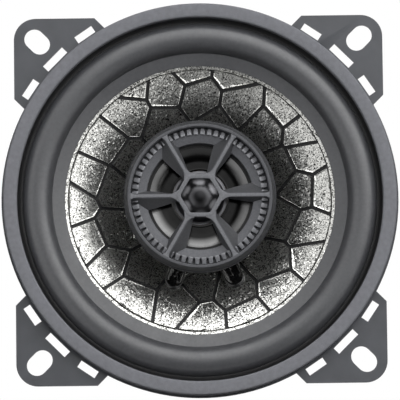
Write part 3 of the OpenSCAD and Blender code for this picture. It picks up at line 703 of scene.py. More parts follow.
class Finishes:
    """All finishes of the speaker, each made once."""

    # Settings that several finishes share
    moulded = {"mottle": 0.13, "mottle_size": 0.45, "grain": 0.28}
    drawn = {"metallic": 1.0, "mottle": 0.10, "mottle_size": 3.0, "grain": 1.5}

    paint = Finish("frame_paint", "frame_paint", (66, 68, 73), 0.42, grain=0.35, shine=0.8)
    foam = Finish(
        "gasket_foam", "gasket_foam", (127, 128, 133), 0.85,
        mottle=0.08, mottle_size=1.2, grain=0.30, grain_depth=0.05, shine=0.1,
    )
    rubber = Finish(
        "surround_rubber", "surround_rubber", (67, 68, 71), 0.42,
        mottle=0.16, mottle_size=0.8, grain=0.4, shine=1.0,
    )
    # Dark cone body: its real dark back, and painted shade in the grooves between the bright polygons
    pulp_and_groove_shade = Finish(
        "cone_pulp_and_groove_shade", "cone_silver", (24, 24, 25), 0.5,
        mottle=0.2, mottle_size=1.0, grain=0.3, grain_depth=0.03,
    )
    metal_skin = SparkleFinish("cone_silver", "cone_silver", (226, 226, 222))
    glue = Finish(
        "black_glue", "black_glue", (18, 18, 19), 0.24,
        mottle=0.2, grain=1.6, grain_depth=0.04, coat=0.2,
    )
    former = Finish(
        "former_film", "former_film", (150, 96, 38), 0.25,
        mottle=0.1, grain=0.3, grain_depth=0.004, coat=0.4,
    )
    copper = Finish(
        "copper_wire", "copper_wire", (186, 104, 62), 0.25,
        metallic=1.0, grain=0.22, grain_depth=0.06, pattern=Pattern.WOUND,
    )
    cloth = Finish(
        "spider_cloth", "spider_cloth", (206, 160, 84), 0.8,
        mottle_size=2.0, grain=0.5, grain_depth=0.08, pattern=Pattern.WOVEN,
    )
    zinc = Finish(
        "zinc_steel", "zinc_steel", (176, 177, 174), 0.32,
        metallic=1.0, mottle=0.08, mottle_size=7.0, grain=0.30, grain_depth=0.008, pattern=Pattern.TURNED,
    )
    ferrite = Finish(
        "ferrite", "ferrite", (52, 53, 56), 0.62,
        mottle=0.2, mottle_size=3.0, grain=0.5, grain_depth=0.04,
    )
    laminate = Finish(
        "board_laminate", "board_laminate", (94, 66, 40), 0.55,
        mottle=0.14, mottle_size=1.5, grain=0.3, grain_depth=0.02, pattern=Pattern.WOVEN,
    )
    tin = Finish(
        "tinned_brass", "tinned_brass", (196, 190, 172), 0.25,
        metallic=1.0, mottle=0.1, grain=0.4, grain_depth=0.008,
    )
    brass = Finish("rivet_brass", "rivet_brass", (188, 150, 88), 0.28, metallic=1.0, grain=0.4)
    braid = Finish(
        "tinsel_braid", "tinsel_braid", (186, 142, 96), 0.4,
        metallic=1.0, mottle=0.25, mottle_size=0.4, grain=0.3, grain_depth=0.08, pattern=Pattern.WOVEN,
    )
    # Painted shade: the rim's front face is darker than the shelf below it
    plastic = Finish(
        "tweeter_plastic", "tweeter_plastic", (97, 98, 102), 0.50,
        **moulded, shine=0.35, painted_shade=PaintedShade(Way.HEIGHT, 11.0, 10.6, 0.78),
    )
    # Painted light: a lighter copy of the bezel's plastic, so that the teeth in the rim's shade look lit
    tooth = Finish("tooth_plastic_painted_light", "tweeter_plastic", (136, 137, 141), 0.48, **moulded, shine=0.4)
    # Painted light and shade: a lighter copy of the bezel's plastic on the spokes' faces, darker down their
    # flanks
    web_painted_light_and_shade = Finish(
        "spoke_plastic_painted_light_and_shade", "tweeter_plastic", (114, 115, 119), 0.48,
        **moulded, shine=0.4, painted_shade=PaintedShade(Way.HEIGHT, 10.4, 10.8, 0.35),
    )
    # Painted shade: a darker copy of the bezel's plastic on the skirt's slanted side, which also dims its
    # reflection in the cone
    housing_painted_shade = Finish(
        "housing_plastic_painted_shade", "tweeter_plastic", (44, 45, 48), 0.46,
        mottle=0.10, mottle_size=0.5, grain=0.28, shine=0.35,
    )
    cup = Finish(
        "cup_plastic", "tweeter_plastic", (30, 30, 32), 0.5,
        mottle=0.06, mottle_size=3.0, grain=0.28, shine=0.3,
    )
    sleeve = Finish(
        "capacitor_sleeve", "capacitor_sleeve", (40, 52, 86), 0.35, mottle=0.08, grain=0.6, coat=0.3
    )
    insulation = Finish("lead_insulation", "lead_insulation", (30, 30, 32), 0.45, mottle=0.1, grain=0.5)
    plating = Finish(
        "plated_magnet", "plated_magnet", (188, 188, 190), 0.2,
        metallic=1.0, mottle=0.06, grain=0.5, grain_depth=0.006,
    )
    # Painted reflection: the dome is darker towards its middle, where it mirrors the dark room
    film = Finish(
        "dome_film", "dome_film", (112, 112, 115), 0.33, **drawn, painted_shade=PaintedShade(Way.RADIUS, 1.2, 3.6, 0.2)
    )
    # Painted shade: the edge is darker towards the hub, where the hub's shadow and a dark reflection fall
    edge_film = Finish(
        "edge_film", "edge_film", (108, 108, 108), 0.18, **drawn, painted_shade=PaintedShade(Way.RADIUS, 10.2, 12.1, 0.12)
    )
    clamp = Finish("clamp_plastic", "clamp_plastic", (26, 26, 27), 0.5, mottle=0.08, grain=0.4)

    def __init__(self) -> None:
        """Starts with no material made."""
        self.made: dict[str, bpy.types.Material] = {}

    def apply(self, item: Item, finish: Finish | SparkleFinish) -> None:
        """Gives an object one of the finishes.

        Args:
            item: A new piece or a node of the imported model.
            finish: The finish to give it.
        """
        if finish.name not in self.made:
            self.made[finish.name] = finish.build()
        item.data.materials.clear()
        item.data.materials.append(self.made[finish.name])


@dataclass(frozen=True)
class Reach:
    """How far a round node reaches, in millimetres.

    Attributes:
        inner: Least distance from the axis.
        outer: Greatest distance from the axis.
        low: Level of its back on the axis.
        high: Level of its front on the axis.
    """

    inner: float
    outer: float
    low: float
    high: float


@dataclass
class Workshop:
    """What every sub-assembly needs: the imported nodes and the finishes."""

    nodes: dict[str, Item]
    finishes: Finishes

    def reach(self, node: str) -> Reach:
        """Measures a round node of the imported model: its radii and its levels."""
        r, z = axis_distance(self.nodes[node]), mesh_points(self.nodes[node])[:, 2]
        return Reach(float(r.min()), float(r.max()), float(z.min()), float(z.max()))

    def dress(self, finish: Finish | SparkleFinish, *nodes: str) -> None:
        """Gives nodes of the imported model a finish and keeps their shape.

        Args:
            finish: The finish.
            *nodes: Names of the nodes.
        """
        for node in nodes:
            self.finishes.apply(self.nodes[node], finish)
            LOG.info("dressed %s in %s", node, finish.name)

    def add(self, item: Item, finish: Finish | SparkleFinish, body: Body, *nodes: str) -> None:
        """Finishes a new piece that rides on one body.

        Args:
            item: The new piece.
            finish: Its finish.
            body: The body that carries it.
            *nodes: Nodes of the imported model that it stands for.
        """
        self.finishes.apply(item, finish)
        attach(item, body.value)
        if nodes:
            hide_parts(*nodes)
        LOG.info("built %s on %s", item.name, body.value)

    def add_flexing(self, item: Item, weight: np.ndarray, finish: Finish, moving: Body, *nodes: str) -> None:
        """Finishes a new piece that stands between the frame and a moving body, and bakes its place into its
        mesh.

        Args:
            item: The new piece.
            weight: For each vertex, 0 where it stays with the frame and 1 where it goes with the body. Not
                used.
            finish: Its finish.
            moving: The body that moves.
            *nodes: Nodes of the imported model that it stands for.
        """
        self.finishes.apply(item, finish)
        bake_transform(item)
        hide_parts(*nodes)
        LOG.info("built %s between %s and %s", item.name, Body.FRAME.value, moving.value)


# Sub-assemblies


@dataclass
class FrameAssembly:
    """Pressed steel basket, foam gasket and rivets.

    Attributes:
        weld: Distance in metres within which the basket's points are merged.
        flat: Angle in degrees up to which its faces count as one.
        sharp: Angle in degrees past which its edges stay sharp.
        edge_break: Rounding of the pressed sheet's cut edges.
        cut_angle: Angle in degrees past which an edge counts as cut.
        gasket_edge, gasket_foot: Rounding of the gasket's upper and lower edges.
        glue_width: Width of the glue line inside the gasket.
        glue_height, glue_edge: Its height at the gasket's wall and at its thin side.
        segments: Steps round the gasket.
    """

    shop: Workshop
    weld: float = 2e-6
    flat: float = 0.5
    sharp: float = 35.0
    edge_break: float = 0.16
    cut_angle: float = 50.0
    gasket_edge: float = 0.55
    gasket_foot: float = 0.1
    glue_width: float = 1.25
    glue_height: float = 1.0
    glue_edge: float = 0.15
    segments: int = 360

    def basket(self) -> Item:
        """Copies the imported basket, merges it and rounds its cut edges.

        Returns:
            The basket piece.
        """
        mesh = self.shop.nodes["basket"].data.copy()
        mesh.name = "pressed_basket"
        work = bmesh.new()
        work.from_mesh(mesh)
        bmesh.ops.remove_doubles(work, verts=work.verts, dist=self.weld)
        flat = math.radians(self.flat)
        bmesh.ops.dissolve_limit(work, angle_limit=flat, verts=work.verts, edges=work.edges)
        work.to_mesh(mesh)
        work.free()
        item = place_mesh("pressed_basket", mesh, self.sharp)
        bevel = item.modifiers.new("edge_break", "BEVEL")
        bevel.width = self.edge_break * MM
        bevel.segments = 2
        bevel.limit_method = "ANGLE"
        bevel.angle_limit = math.radians(self.cut_angle)
        return item

    def gasket(self) -> Item:
        """Turns the gasket: a square ring with rounded upper edges.

        Returns:
            The gasket piece.
        """
        node = self.shop.reach("gasket")
        profile = rounded([
            (node.inner, node.low, self.gasket_foot), (node.outer, node.low, self.gasket_foot),
            (node.outer, node.high, self.gasket_edge), (node.inner, node.high, self.gasket_edge),
        ])
        return make_object("foam_gasket", [lathe(profile, self.segments)])

    def glue_and_shade_line(self) -> Item:
        """Turns the dark glue line between the surround's roll and the gasket: a low hollow fillet, dark
        also to paint the crease's shade.

        Returns:
            The glue line, whose height grows as the square of the way to the gasket.
        """
        node = self.shop.reach("gasket")
        start = node.inner - self.glue_width
        step = np.linspace(0.0, 1.0, 9)
        top = pairs(start + self.glue_width * step, node.low + self.glue_edge + self.glue_height * step**2)
        profile = np.concatenate([top, [[node.inner, node.low], [start, node.low]]])
        return make_object("gasket_glue_and_shade_line", [lathe(profile, self.segments)])

    def build(self) -> None:
        """Builds and dresses the assembly."""
        finishes = self.shop.finishes
        self.shop.add(self.basket(), finishes.paint, Body.FRAME, "basket")
        self.shop.add(self.gasket(), finishes.foam, Body.FRAME, "gasket")
        # The glue line's dark colour also paints the shade in the crease
        self.shop.add(self.glue_and_shade_line(), finishes.clamp, Body.FRAME)
        self.shop.dress(finishes.zinc, "basket_rivets")


@dataclass
class ConeAssembly:
    """Cone with raised polygons, rubber surround, spider, coil and glue dabs.

    Attributes:
        segments: Steps round the cone and the surround.
        roll_outer: Radius of the surround's roll at its outer foot.
        rubber, foot, lip: The surround's thickness, level of its flat foot and width of its lip on the cone.
        glue: Thickness of the glue below that lip.
        depth: Depth of the cone from its edge to its neck.
        edge_angle: Slope of the cone at its edge, in degrees.
        collar: Length of the straight collar at the neck.
        relief, relief_least: Height of the raised polygons, and the least that their lean may leave.
        relief_inner: Radius at which the polygons end, behind the tweeter.
        groove: Width of the grooves between them.
        root_margin: Least distance from a polygon's root to the circle that bounds all of them.
        edge_lip: Width of the raised lip along the polygons' inner edges.
        lip_start, lip_full: Radius at which the lips begin and from which they have their full width.
        lip_bias: How far round towards the sides a lip goes on.
        lip_least: Share of a lip that is left on the other edges.
        lean: Lean of every polygon outwards, in degrees.
        rings: Rings of a polygon from its root below the face, over its edge, to its middle: share of
            the reach, inset and rise in widths of the lip, and height in reliefs.
        bead_gap, bead_groove: Gaps from the bright bead to the surround's lip and to the polygons.
        bead_section: The bead's section, as shares of its width and its height.
        dab_sizes: Angle from the bottom in degrees, width and outer radius of each glue dab.
        dab_section: Steps from a dab's border to its middle, with the share of its height there.
        dab_lumps: Share of the height, waves round, waves inwards and shift of each set of lumps.
        waves, wave_height: Number and height of the spider's waves.
        spider_foot, spider_collar: Width of its flat foot, and thickness of its collar on the former.
        cells: Middle of each polygon as (distance from the axis, angle in degrees).
    """

    shop: Workshop
    segments: int = 320
    roll_outer: float = 45.6
    roll_width: float = 7.7
    roll_height: float = 3.3
    rubber: float = 0.6
    foot: float = 1.5
    lip: float = 3.2
    glue: float = 0.1
    depth: float = 12.5
    edge_angle: float = 13.0
    neck: float = 13.1
    wall: float = 0.5
    collar: float = 2.0
    relief: float = 0.4
    relief_least: float = 0.08
    relief_inner: float = 15.5
    groove: float = 0.95
    root_margin: float = 1.8
    edge_lip: float = 0.5
    lip_start: float = 25.5
    lip_full: float = 28.5
    lip_bias: float = 0.15
    lip_least: float = 0.1
    lean: float = -2.0
    rings: Table = (
        (0.0, 0.0, 0.0, -0.45), (1.0, 0.0, 0.0, -0.45), (1.0, 0.0, 0.74, 1.0), (1.0, 0.12, 0.74, 1.0),
        (1.0, 0.88, 0.04, 1.0), (1.0, 1.02, 0.0, 1.0), (1.0, 1.2, 0.0, 1.0),
        (0.66, 0.0, 0.0, 1.0), (0.33, 0.0, 0.0, 1.0), (0.0, 0.0, 0.0, 1.0),
    )
    bead_gap: float = 0.03
    bead_width: float = 0.85
    bead_height: float = 0.42
    bead_groove: float = 0.16
    bead_section: Table = (
        (0.0, -0.4), (0.0, 0.8), (0.05, 0.98), (0.12, 1.06), (0.22, 1.06), (0.85, 1.0), (0.93, 0.97),
        (0.98, 0.9), (1.0, 0.75), (1.0, -0.4),
    )
    dab_height: float = 1.2
    dab_sizes: Table = ((-19.0, 4.8, 24.1), (23.8, 5.5, 24.4))
    dab_section: Table = (
        (1.0, -0.3), (0.0, -0.3), (0.0, 0.1), (0.03, 0.62), (0.09, 0.92), (0.16, 1.0), (0.25, 0.86),
        (0.4, 0.66), (0.6, 0.56), (0.8, 0.52), (1.0, 0.5),
    )
    dab_lumps: Table = ((0.06, 3, 5, 1), (0.05, 5, -7, 2))
    waves: int = 5
    wave_height: float = 1.4
    spider_foot: float = 3.25
    spider_wall: float = 0.4
    spider_collar: float = 0.4
    cells: Table = (
        (35, 94), (35.2, 74), (33, 47), (32.4, 33), (32.8, 5), (30.1, 22), (32.2, 332), (31, 311),
        (32.5, 291), (31, 272), (26, 258), (29.5, 233), (27.9, 214), (30.5, 200), (32.8, 181), (29, 166),
        (29, 149), (30, 128), (35, 121), (30.2, 106), (26.6, 90), (27.2, 66), (25, 49), (25.8, 7),
        (28.8, 344), (23.7, 319), (25, 290), (21.2, 268), (23.6, 229), (23, 199), (22.2, 168), (20.2, 151),
        (21.8, 112), (20, 79), (21.6, 21), (21.2, 348),
    )

    def __post_init__(self) -> None:
        """Works out the cone's arc from its depth and its edge angle."""
        self.roll_inner = self.roll_outer - self.roll_width
        self.rim = self.roll_inner - self.rubber / 2
        self.lip_offset = self.rubber + self.glue
        start = math.radians(self.edge_angle)
        overhang = self.rubber / 2 + self.lip_offset * math.sin(start)
        self.edge_level = self.foot - self.lip_offset * math.cos(start) - overhang * math.tan(start)
        chord = math.atan2(self.depth, self.rim - self.neck)
        self.sine = math.sin(start)
        self.cosine = math.cos(start)
        self.arc = (self.rim - self.neck) / (math.sin(2 * chord - start) - self.sine)
        lip_inner = self.roll_inner - self.lip
        self.lip_end = lip_inner + self.lip_offset * math.sin(float(self.slope(np.array(lip_inner))))

    def slope(self, r: np.ndarray) -> np.ndarray:
        """Gives the cone's slope at radius r: its sine grows evenly from the edge inwards."""
        return np.arcsin(self.sine + (self.rim - r) / self.arc)

    def level(self, r: np.ndarray) -> np.ndarray:
        """Gives the height of the cone's front face at radius r, on a circular arc."""
        return self.edge_level - self.arc * (self.cosine - np.cos(self.slope(r)))

    def face(self, start: float, end: float, steps: int) -> np.ndarray:
        """Gives points of the front face from one radius to another."""
        r = np.linspace(start, end, steps + 1)
        return pairs(r, self.level(r))

    def raised(self, plan: np.ndarray, height: np.ndarray) -> np.ndarray:
        """Lifts plan points off the cone's front face along its normal.

        Args:
            plan: Points of (x, y).
            height: Distance from the face.

        Returns:
            Points in the axis frame.
        """
        r = np.maximum(np.linalg.norm(plan, axis=-1), TINY)
        slope = self.slope(r)
        side = plan * (1 - height * np.sin(slope) / r)[..., None]
        return np.concatenate([side, (self.level(r) + height * np.cos(slope))[..., None]], axis=-1)

    def outlines(self, way: np.ndarray) -> tuple[np.ndarray, np.ndarray, np.ndarray]:
        """Works out the polygons' outlines: each holds all that is nearer to its middle than to any other.

        A polygon's reach in a direction is the nearest of the half-way lines to the other middles, less
        half a groove, and of the two bounding circles.

        Args:
            way: Directions as (x, y).

        Returns:
            For each polygon the root that it is drawn about, its reach in each direction, and how
            squarely its edge there faces the axis, from -1 to 1.
        """
        cells = np.array(self.cells)
        angle = np.radians(cells[:, 1])
        middle = cells[:, :1] * pairs(np.cos(angle), np.sin(angle))
        outer = self.lip_end - self.bead_gap - self.bead_width - self.bead_groove
        root = middle * np.minimum(1.0, (outer - self.root_margin) / cells[:, 0])[:, None]
        apart = middle[None] - middle[:, None]
        far = np.linalg.norm(apart, axis=-1, keepdims=True)
        normal = apart / np.where(far > 0, far, 1.0)
        half_way = (middle[None] + middle[:, None]) / 2
        gap = np.sum(normal * (half_way - root[:, None]), axis=-1) - self.groove / 2
        facing = np.einsum("ijk,sk->ijs", normal, way)
        ahead = facing > TINY
        lines = np.where(ahead, gap[..., None] / np.where(ahead, facing, 1.0), np.inf)
        nearest = np.take_along_axis(normal, lines.argmin(axis=1)[..., None], axis=1)
        inward = -np.sum(nearest * (middle / cells[:, :1])[:, None], axis=-1)
        along = root @ way.T
        square = np.sum(root**2, axis=1)[:, None]
        reach = np.minimum(lines.min(axis=1), -along + np.sqrt(along**2 + outer**2 - square))
        inside = along**2 - square + self.relief_inner**2
        hit = -along - np.sqrt(np.maximum(inside, 0.0))
        return root, np.minimum(reach, np.where((inside > 0) & (hit > 0), hit, np.inf)), inward

    def polygons(self) -> Surface:
        """Raises the polygons, with a lip along the edges that face the axis and one lean for all.

        A polygon is a function of direction and of the step over its rings. A lip's width grows with the
        radius and with how squarely the edge faces the axis. The lean changes a polygon's height evenly
        with the distance from the axis.

        Returns:
            The closed polygons.
        """
        turn = round_steps(128)
        way = pairs(np.cos(turn), np.sin(turn))
        root, reach, inward = self.outlines(way)
        edge = np.linalg.norm(root[:, None] + reach[..., None] * way[None], axis=-1)
        far_out = np.clip((edge - self.lip_start) / (self.lip_full - self.lip_start), self.lip_least, 1.0)
        lip = (self.edge_lip * np.clip(self.lip_bias + inward, self.lip_least, 1.0) * far_out)[:, None]
        share, inset, rise, level = np.array(self.rings).T[:, None, :, None]
        plan = root[:, None, None] + (reach[:, None] * share - lip * inset)[..., None] * way[None, None]
        height = self.relief * level + lip * rise
        away = np.linalg.norm(plan, axis=-1) - np.linalg.norm(root, axis=-1)[:, None, None]
        leaning = np.maximum(height - math.tan(math.radians(self.lean)) * away, self.relief_least)
        return Surface.from_grids(self.raised(plan, np.where(height > 0, leaning, height)))

    def cone(self) -> tuple[Item, Item]:
        """Turns the dark cone, whose face between the polygons paints the shade in the grooves, and apart
        from it the bright bead and raised polygons on it.

        Returns:
            The dark cone, and the bright relief.
        """
        face = self.face(self.rim, self.neck, steps=40)
        collar = np.array([[self.neck, face[-1, 1] - self.collar]])
        shell = sheet_profile(np.concatenate([face, collar]), self.wall)
        across, up = np.array(self.bead_section).T
        r = self.lip_end - self.bead_gap - across * self.bead_width
        slope, height = self.slope(r), up * self.bead_height
        bead = pairs(r - height * np.sin(slope), self.level(r) + height * np.cos(slope))
        body = make_object("cone_body", [lathe(shell, self.segments)])
        return body, make_object("cone_relief", [lathe(bead, self.segments), self.polygons()], sharp=60.0)

    def surround(self) -> tuple[Item, np.ndarray]:
        """Turns the surround: a flat foot, a half-roll and a lip along the cone.

        Returns:
            The piece, and how far each vertex goes with the cone.
        """
        lip = offset_path(self.face(self.rim, self.lip_end, steps=8), -self.lip_offset)
        roll = hump(self.roll_outer, self.foot, self.roll_width, self.roll_height, steps=40)
        path = np.concatenate([[[self.shop.reach("surround").outer, self.foot]], roll, lip])
        item = make_object("rubber_surround", [lathe(sheet_profile(path, self.rubber), self.segments)])
        return item, (self.roll_outer - axis_distance(item)) / self.roll_width

    def dabs(self) -> Item:
        """Pours the two glue dabs over the lead joints: tongues with a raised border and a lumpy middle.

        A dab is a function of direction and of the step from its border to its middle. Its outline is a
        bar with round ends, and its height follows a table of steps, with waves for the lumps.

        Returns:
            Both dabs as one piece.
        """
        turn = round_steps(72)
        step, level = np.array(self.dab_section).T[..., None]
        grids = []
        for angle, width, reach in self.dab_sizes:
            half = width / 2
            inner, outer = self.relief_inner + half, reach - half
            middle = (inner + outer) / 2
            end = np.where(np.cos(turn) >= 0, outer, inner)
            along = middle + (end + half * np.cos(turn) - middle) * (1 - step)
            across = half * np.sin(turn) * (1 - step)
            lumps = sum(
                size * np.sin(around * turn + inwards * step + shift * angle)
                for size, around, inwards, shift in self.dab_lumps
            )
            height = self.dab_height * (level + np.where(level > 0.3, lumps, 0.0))
            aim = math.radians(angle - 90.0)
            out = np.array([math.cos(aim), math.sin(aim)])
            plan = along[..., None] * out + across[..., None] * np.array([-out[1], out[0]])
            grids.append(self.raised(plan, height))
        return make_object("glue_dabs_poured", [Surface.from_grids(np.stack(grids))], sharp=70.0)

    def spider(self) -> tuple[Item, np.ndarray]:
        """Turns the spider: a flat foot, even cosine waves and a collar on the coil's former.

        Returns:
            The piece, and how far each vertex goes with the cone.
        """
        node = self.shop.reach("spider")
        collar = node.inner + self.spider_collar
        start, end = node.outer - self.spider_foot, node.inner + 2 * self.spider_collar
        step = np.linspace(0.0, 1.0, 16 * self.waves + 1)
        wave = node.low + self.wave_height * (1 - np.cos(2 * math.pi * self.waves * step)) / 2
        waves = pairs(start + (end - start) * step, wave)
        rise = [[collar, node.low], [collar, node.low + self.wave_height]]
        path = np.concatenate([[[node.outer, node.low]], waves, rise])
        item = make_object("cloth_spider", [lathe(sheet_profile(path, -self.spider_wall), 256)])
        return item, (start - axis_distance(item)) / (start - end)

    def build(self) -> None:
        """Builds and dresses the assembly."""
        shop, finishes = self.shop, self.shop.finishes
        body, relief = self.cone()
        # The dark cone body also paints the shade in the grooves between the polygons
        shop.add(body, finishes.pulp_and_groove_shade, Body.CONE, "cone")
        shop.add(relief, finishes.metal_skin, Body.CONE, "cone")
        shop.add_flexing(*self.surround(), finishes.rubber, Body.CONE, "surround")
        shop.add(self.dabs(), finishes.glue, Body.CONE, "glue_dabs")
        shop.add_flexing(*self.spider(), finishes.cloth, Body.CONE, "spider")
        shop.dress(finishes.former, "coil_former")
        shop.dress(finishes.copper, "voice_coil")


@dataclass
class MotorAssembly:
    """Front plate, ferrite ring and yoke."""

    shop: Workshop

    def build(self) -> None:
        """Dresses the motor's nodes."""
        self.shop.dress(self.shop.finishes.zinc, "top_plate", "yoke")
        self.shop.dress(self.shop.finishes.ferrite, "magnet")


@dataclass(frozen=True)
class Lead:
    """A lead on the positive side. The negative one is its mirror image.

    Attributes:
        knots: Points that it runs through.
        steps: Steps from each knot to the next.
        radius: Radius over its strands.
        strands: Number of strands that show round it.
        pitch: Length in which a strand goes once round.
    """

    knots: tuple[Point, ...]
    steps: int
    radius: float
    strands: int
    pitch: float

    def route(self, side: int) -> np.ndarray:
        """Gives the centre line, with side 1 for the positive lead and -1 for the negative one."""
        return smooth_route(np.array(self.knots), self.steps) * np.array([side, 1, 1])

    def twist(self, route: np.ndarray) -> Surface:
        """Twists the lead along a centre line."""
        return rope(route, self.radius, self.strands, self.pitch)


@dataclass
class TerminalAssembly:
    """Terminal board, blades, rivets and the leads to the cone and the tweeter.

    Attributes:
        tinsel: The lead from a terminal to the cone.
        tweeter_lead: The lead from the tweeter's post to the cone's dab.
    """

    shop: Workshop
    tinsel: Lead = Lead((
        (7.0, -35.4, -17.4), (7.0, -37.2, -15.9), (7.2, -37.9, -13.5), (7.4, -36.225, -11.4),
        (7.6, -31.525, -9.6), (7.741, -24.879, -9.048), (7.741, -20.979, -8.048), (7.741, -20.379, -6.548),
    ), steps=12, radius=0.5, strands=5, pitch=3.2)
    tweeter_lead: Lead = Lead((
        (2.379, -6.263, -5.248), (2.675, -7.041, -7.408), (3.302, -8.694, -8.368),
        (4.226, -11.124, -8.128), (5.334, -14.041, -6.928), (6.072, -15.986, -6.448),
    ), steps=8, radius=0.4, strands=2, pitch=30.0)

    def tinsel_lead(self, side: int) -> tuple[Item, np.ndarray]:
        """Twists one tinsel lead along its route.

        Args:
            side: 1 for the positive lead, -1 for the negative one.

        Returns:
            The lead, and how far each vertex goes with the cone, with soft ends.
        """
        route = self.tinsel.route(side)
        name = "tinsel_braid_positive" if side > 0 else "tinsel_braid_negative"
        item = make_object(name, [self.tinsel.twist(route)], sharp=60.0)
        share = share_along(item, route[None])
        return item, share * share * (3.0 - 2.0 * share)

    def tweeter_pair(self) -> tuple[Item, np.ndarray]:
        """Runs both insulated tweeter leads, as mirror images, from the post to the cone.

        Returns:
            The leads, and how far each vertex goes with the cone.
        """
        routes = np.stack([self.tweeter_lead.route(side) for side in (1, -1)])
        ropes = [self.tweeter_lead.twist(route) for route in routes]
        item = make_object("tweeter_lead_pair", ropes, sharp=60.0)
        return item, share_along(item, routes)

    def build(self) -> None:
        """Builds the leads and dresses the terminals' nodes."""
        shop, finishes = self.shop, self.shop.finishes
        shop.dress(finishes.laminate, "terminal_board")
        shop.dress(finishes.tin, "terminal_positive", "terminal_negative")
        shop.dress(finishes.brass, "terminal_rivets")
        for side, node in ((1, "tinsel_lead_positive"), (-1, "tinsel_lead_negative")):
            shop.add_flexing(*self.tinsel_lead(side), finishes.braid, Body.CONE, node)
        shop.add_flexing(*self.tweeter_pair(), finishes.insulation, Body.CONE, "tweeter_leads")


@dataclass
class TweeterAssembly:
    """Post, cup, dome with its edge, and the bezel with its teeth, spokes and hub.

    Attributes:
        segments: Steps round the bezel.
        shelf, shelf_wall, shelf_inner: Level and thickness of the shelf, and radius of its opening.
        rim_width: Width of the rim's face.
        slant_width, slant_height: Size of the skirt's slanted side.
        skirt_wall: Thickness of the skirt below it.
        seam: Width of the step between the skirt and the rim.
        trough: Level of the trough between the rim and the shelf.
        flare_rise: Rise of the shelf's border at the trough.
        tooth_width, tooth_spread: Width of a tooth at the rim, and how much wider it is at the shelf.
        tooth_gap: Gap between the rim and the teeth.
        tooth_foot, tooth_crest: Level of a tooth's top at the rim and at the shelf.
        tooth_root: How deep a tooth goes below the trough.
        tooth_power: Roundness of its section, from 0 for a box to 1 for an ellipse.
        tooth_section: Steps along a tooth, with the share of its full section there.
        spoke_width, spoke_edge: Width and rounding of a spoke's face.
        spoke_drop: How far that face lies below the rim.
        lean, back: Sideways reach of the wide and the steep flank where a spoke meets the shelf.
        hub_opening: Distance from the axis to a corner of the hub's opening.
        hub_soft: How far the hub's corners are drawn in.
        hub_soft_from, hub_soft_span: Angles in radians, from the middle of a side, at which that begins
            and over which it grows.
        film: Thickness of the dome and its edge.
        dome_rim: Width of the dome's flat rim.
        edge_foot, edge_rise: Radius and rise of the edge's turned-up border.
        edge_valley: Radius inside which the edge is flat.
        shade_ring_inner: Radius at which the dark ring of painted shade below the border begins.
    """

    shop: Workshop
    segments: int = 360
    shelf: float = 8.5
    shelf_wall: float = 2.3
    shelf_inner: float = 13.65
    rim_width: float = 1.8
    slant_width: float = 0.9
    slant_height: float = 2.2
    skirt_wall: float = 2.0
    seam: float = 0.1
    trough: float = 7.7
    flare_rise: float = 0.7
    teeth: int = 60
    tooth_width: float = 1.0
    tooth_spread: float = 0.35
    tooth_length: float = 1.6
    tooth_gap: float = 0.3
    tooth_foot: float = 9.2
    tooth_crest: float = 10.1
    tooth_root: float = 0.2
    tooth_power: float = 0.35
    tooth_section: Table = (
        (0.0, 0.0), (0.0, 1.0), (0.03, 1.0), (0.35, 1.0), (0.7, 1.0), (0.9, 0.97), (1.0, 0.85), (1.0, 0.0),
    )
    spokes: int = 6
    spoke_width: float = 0.8
    spoke_edge: float = 0.10
    spoke_drop: float = 0.12
    lean: float = 3.5
    back: float = 1.6
    hub_opening: float = 5.0
    hub_wall: float = 1.1
    hub_depth: float = 0.7
    hub_soft: float = 0.12
    hub_soft_from: float = 0.40
    hub_soft_span: float = 0.124
    film: float = 0.15
    dome_rim: float = 0.55
    edge_foot: float = 12.84
    edge_valley: float = 9.0
    edge_rise: float = 0.9
    shade_ring_inner: float = 12.2

    def __post_init__(self) -> None:
        """Takes the bezel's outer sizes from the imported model."""
        node = self.shop.reach("tweeter_bezel")
        self.outer, self.skirt, self.front = node.outer, node.low, node.high
        self.rim_inner = self.outer - self.rim_width
        self.slant = self.outer - self.slant_width
        self.wall = self.outer - self.skirt_wall

    def skirt_ring(self) -> Item:
        """Turns the skirt: a slanted outer side that ends in a fine edge, and the wall below it.

        Returns:
            The skirt piece.
        """
        edge, top = self.front - self.slant_height, self.front - 0.12
        inner = self.slant - self.seam
        profile = rounded([
            (self.outer - 0.3, self.skirt, 0.2), (self.outer, edge - 0.2, 0.1), (self.outer, edge, 0.08),
            (self.outer - 0.22, edge + 0.05, 0.05), (self.slant, top, 0.05), (inner, top, 0.02),
            (inner, self.shelf, 0.02), (self.wall, self.shelf, 0.02), (self.wall, self.skirt, 0.1),
        ])
        return make_object("bezel_skirt", [lathe(profile, self.segments)])

    def rim(self) -> Item:
        """Turns the rim and the shelf: a face, a step down to a trough and the shelf round the opening.

        Returns:
            The rim piece.
        """
        inner, front, shelf = self.rim_inner, self.front, self.shelf
        outer, under = self.slant - self.seam, shelf - self.shelf_wall
        flare = inner - self.tooth_gap - self.tooth_length + 0.2
        profile = rounded([
            (outer, shelf, 0.02), (outer, front, 0.12), (inner + 0.05, front, 0.18),
            (inner - 0.05, front - 1.2, 0.3), (inner - 0.1, self.trough, 0.1),
            (flare + 0.2, self.trough, 0.1), (flare, shelf + self.flare_rise, 0.12),
            (self.shelf_inner, shelf, 0.25), (self.shelf_inner, under, 0.1), (self.wall, under, 0.1),
            (self.wall, shelf, 0.02),
        ])
        return make_object("bezel_rim", [lathe(profile, self.segments)])

    def edge_level(self, r: np.ndarray) -> np.ndarray:
        """Gives the height of the edge's face at radius r: flat in the valley, then rising as a square."""
        share = np.clip((r - self.edge_valley) / (self.edge_foot - self.edge_valley), 0.0, None)
        return self.shop.reach("tweeter_edge").low + self.film + self.edge_rise * share**2

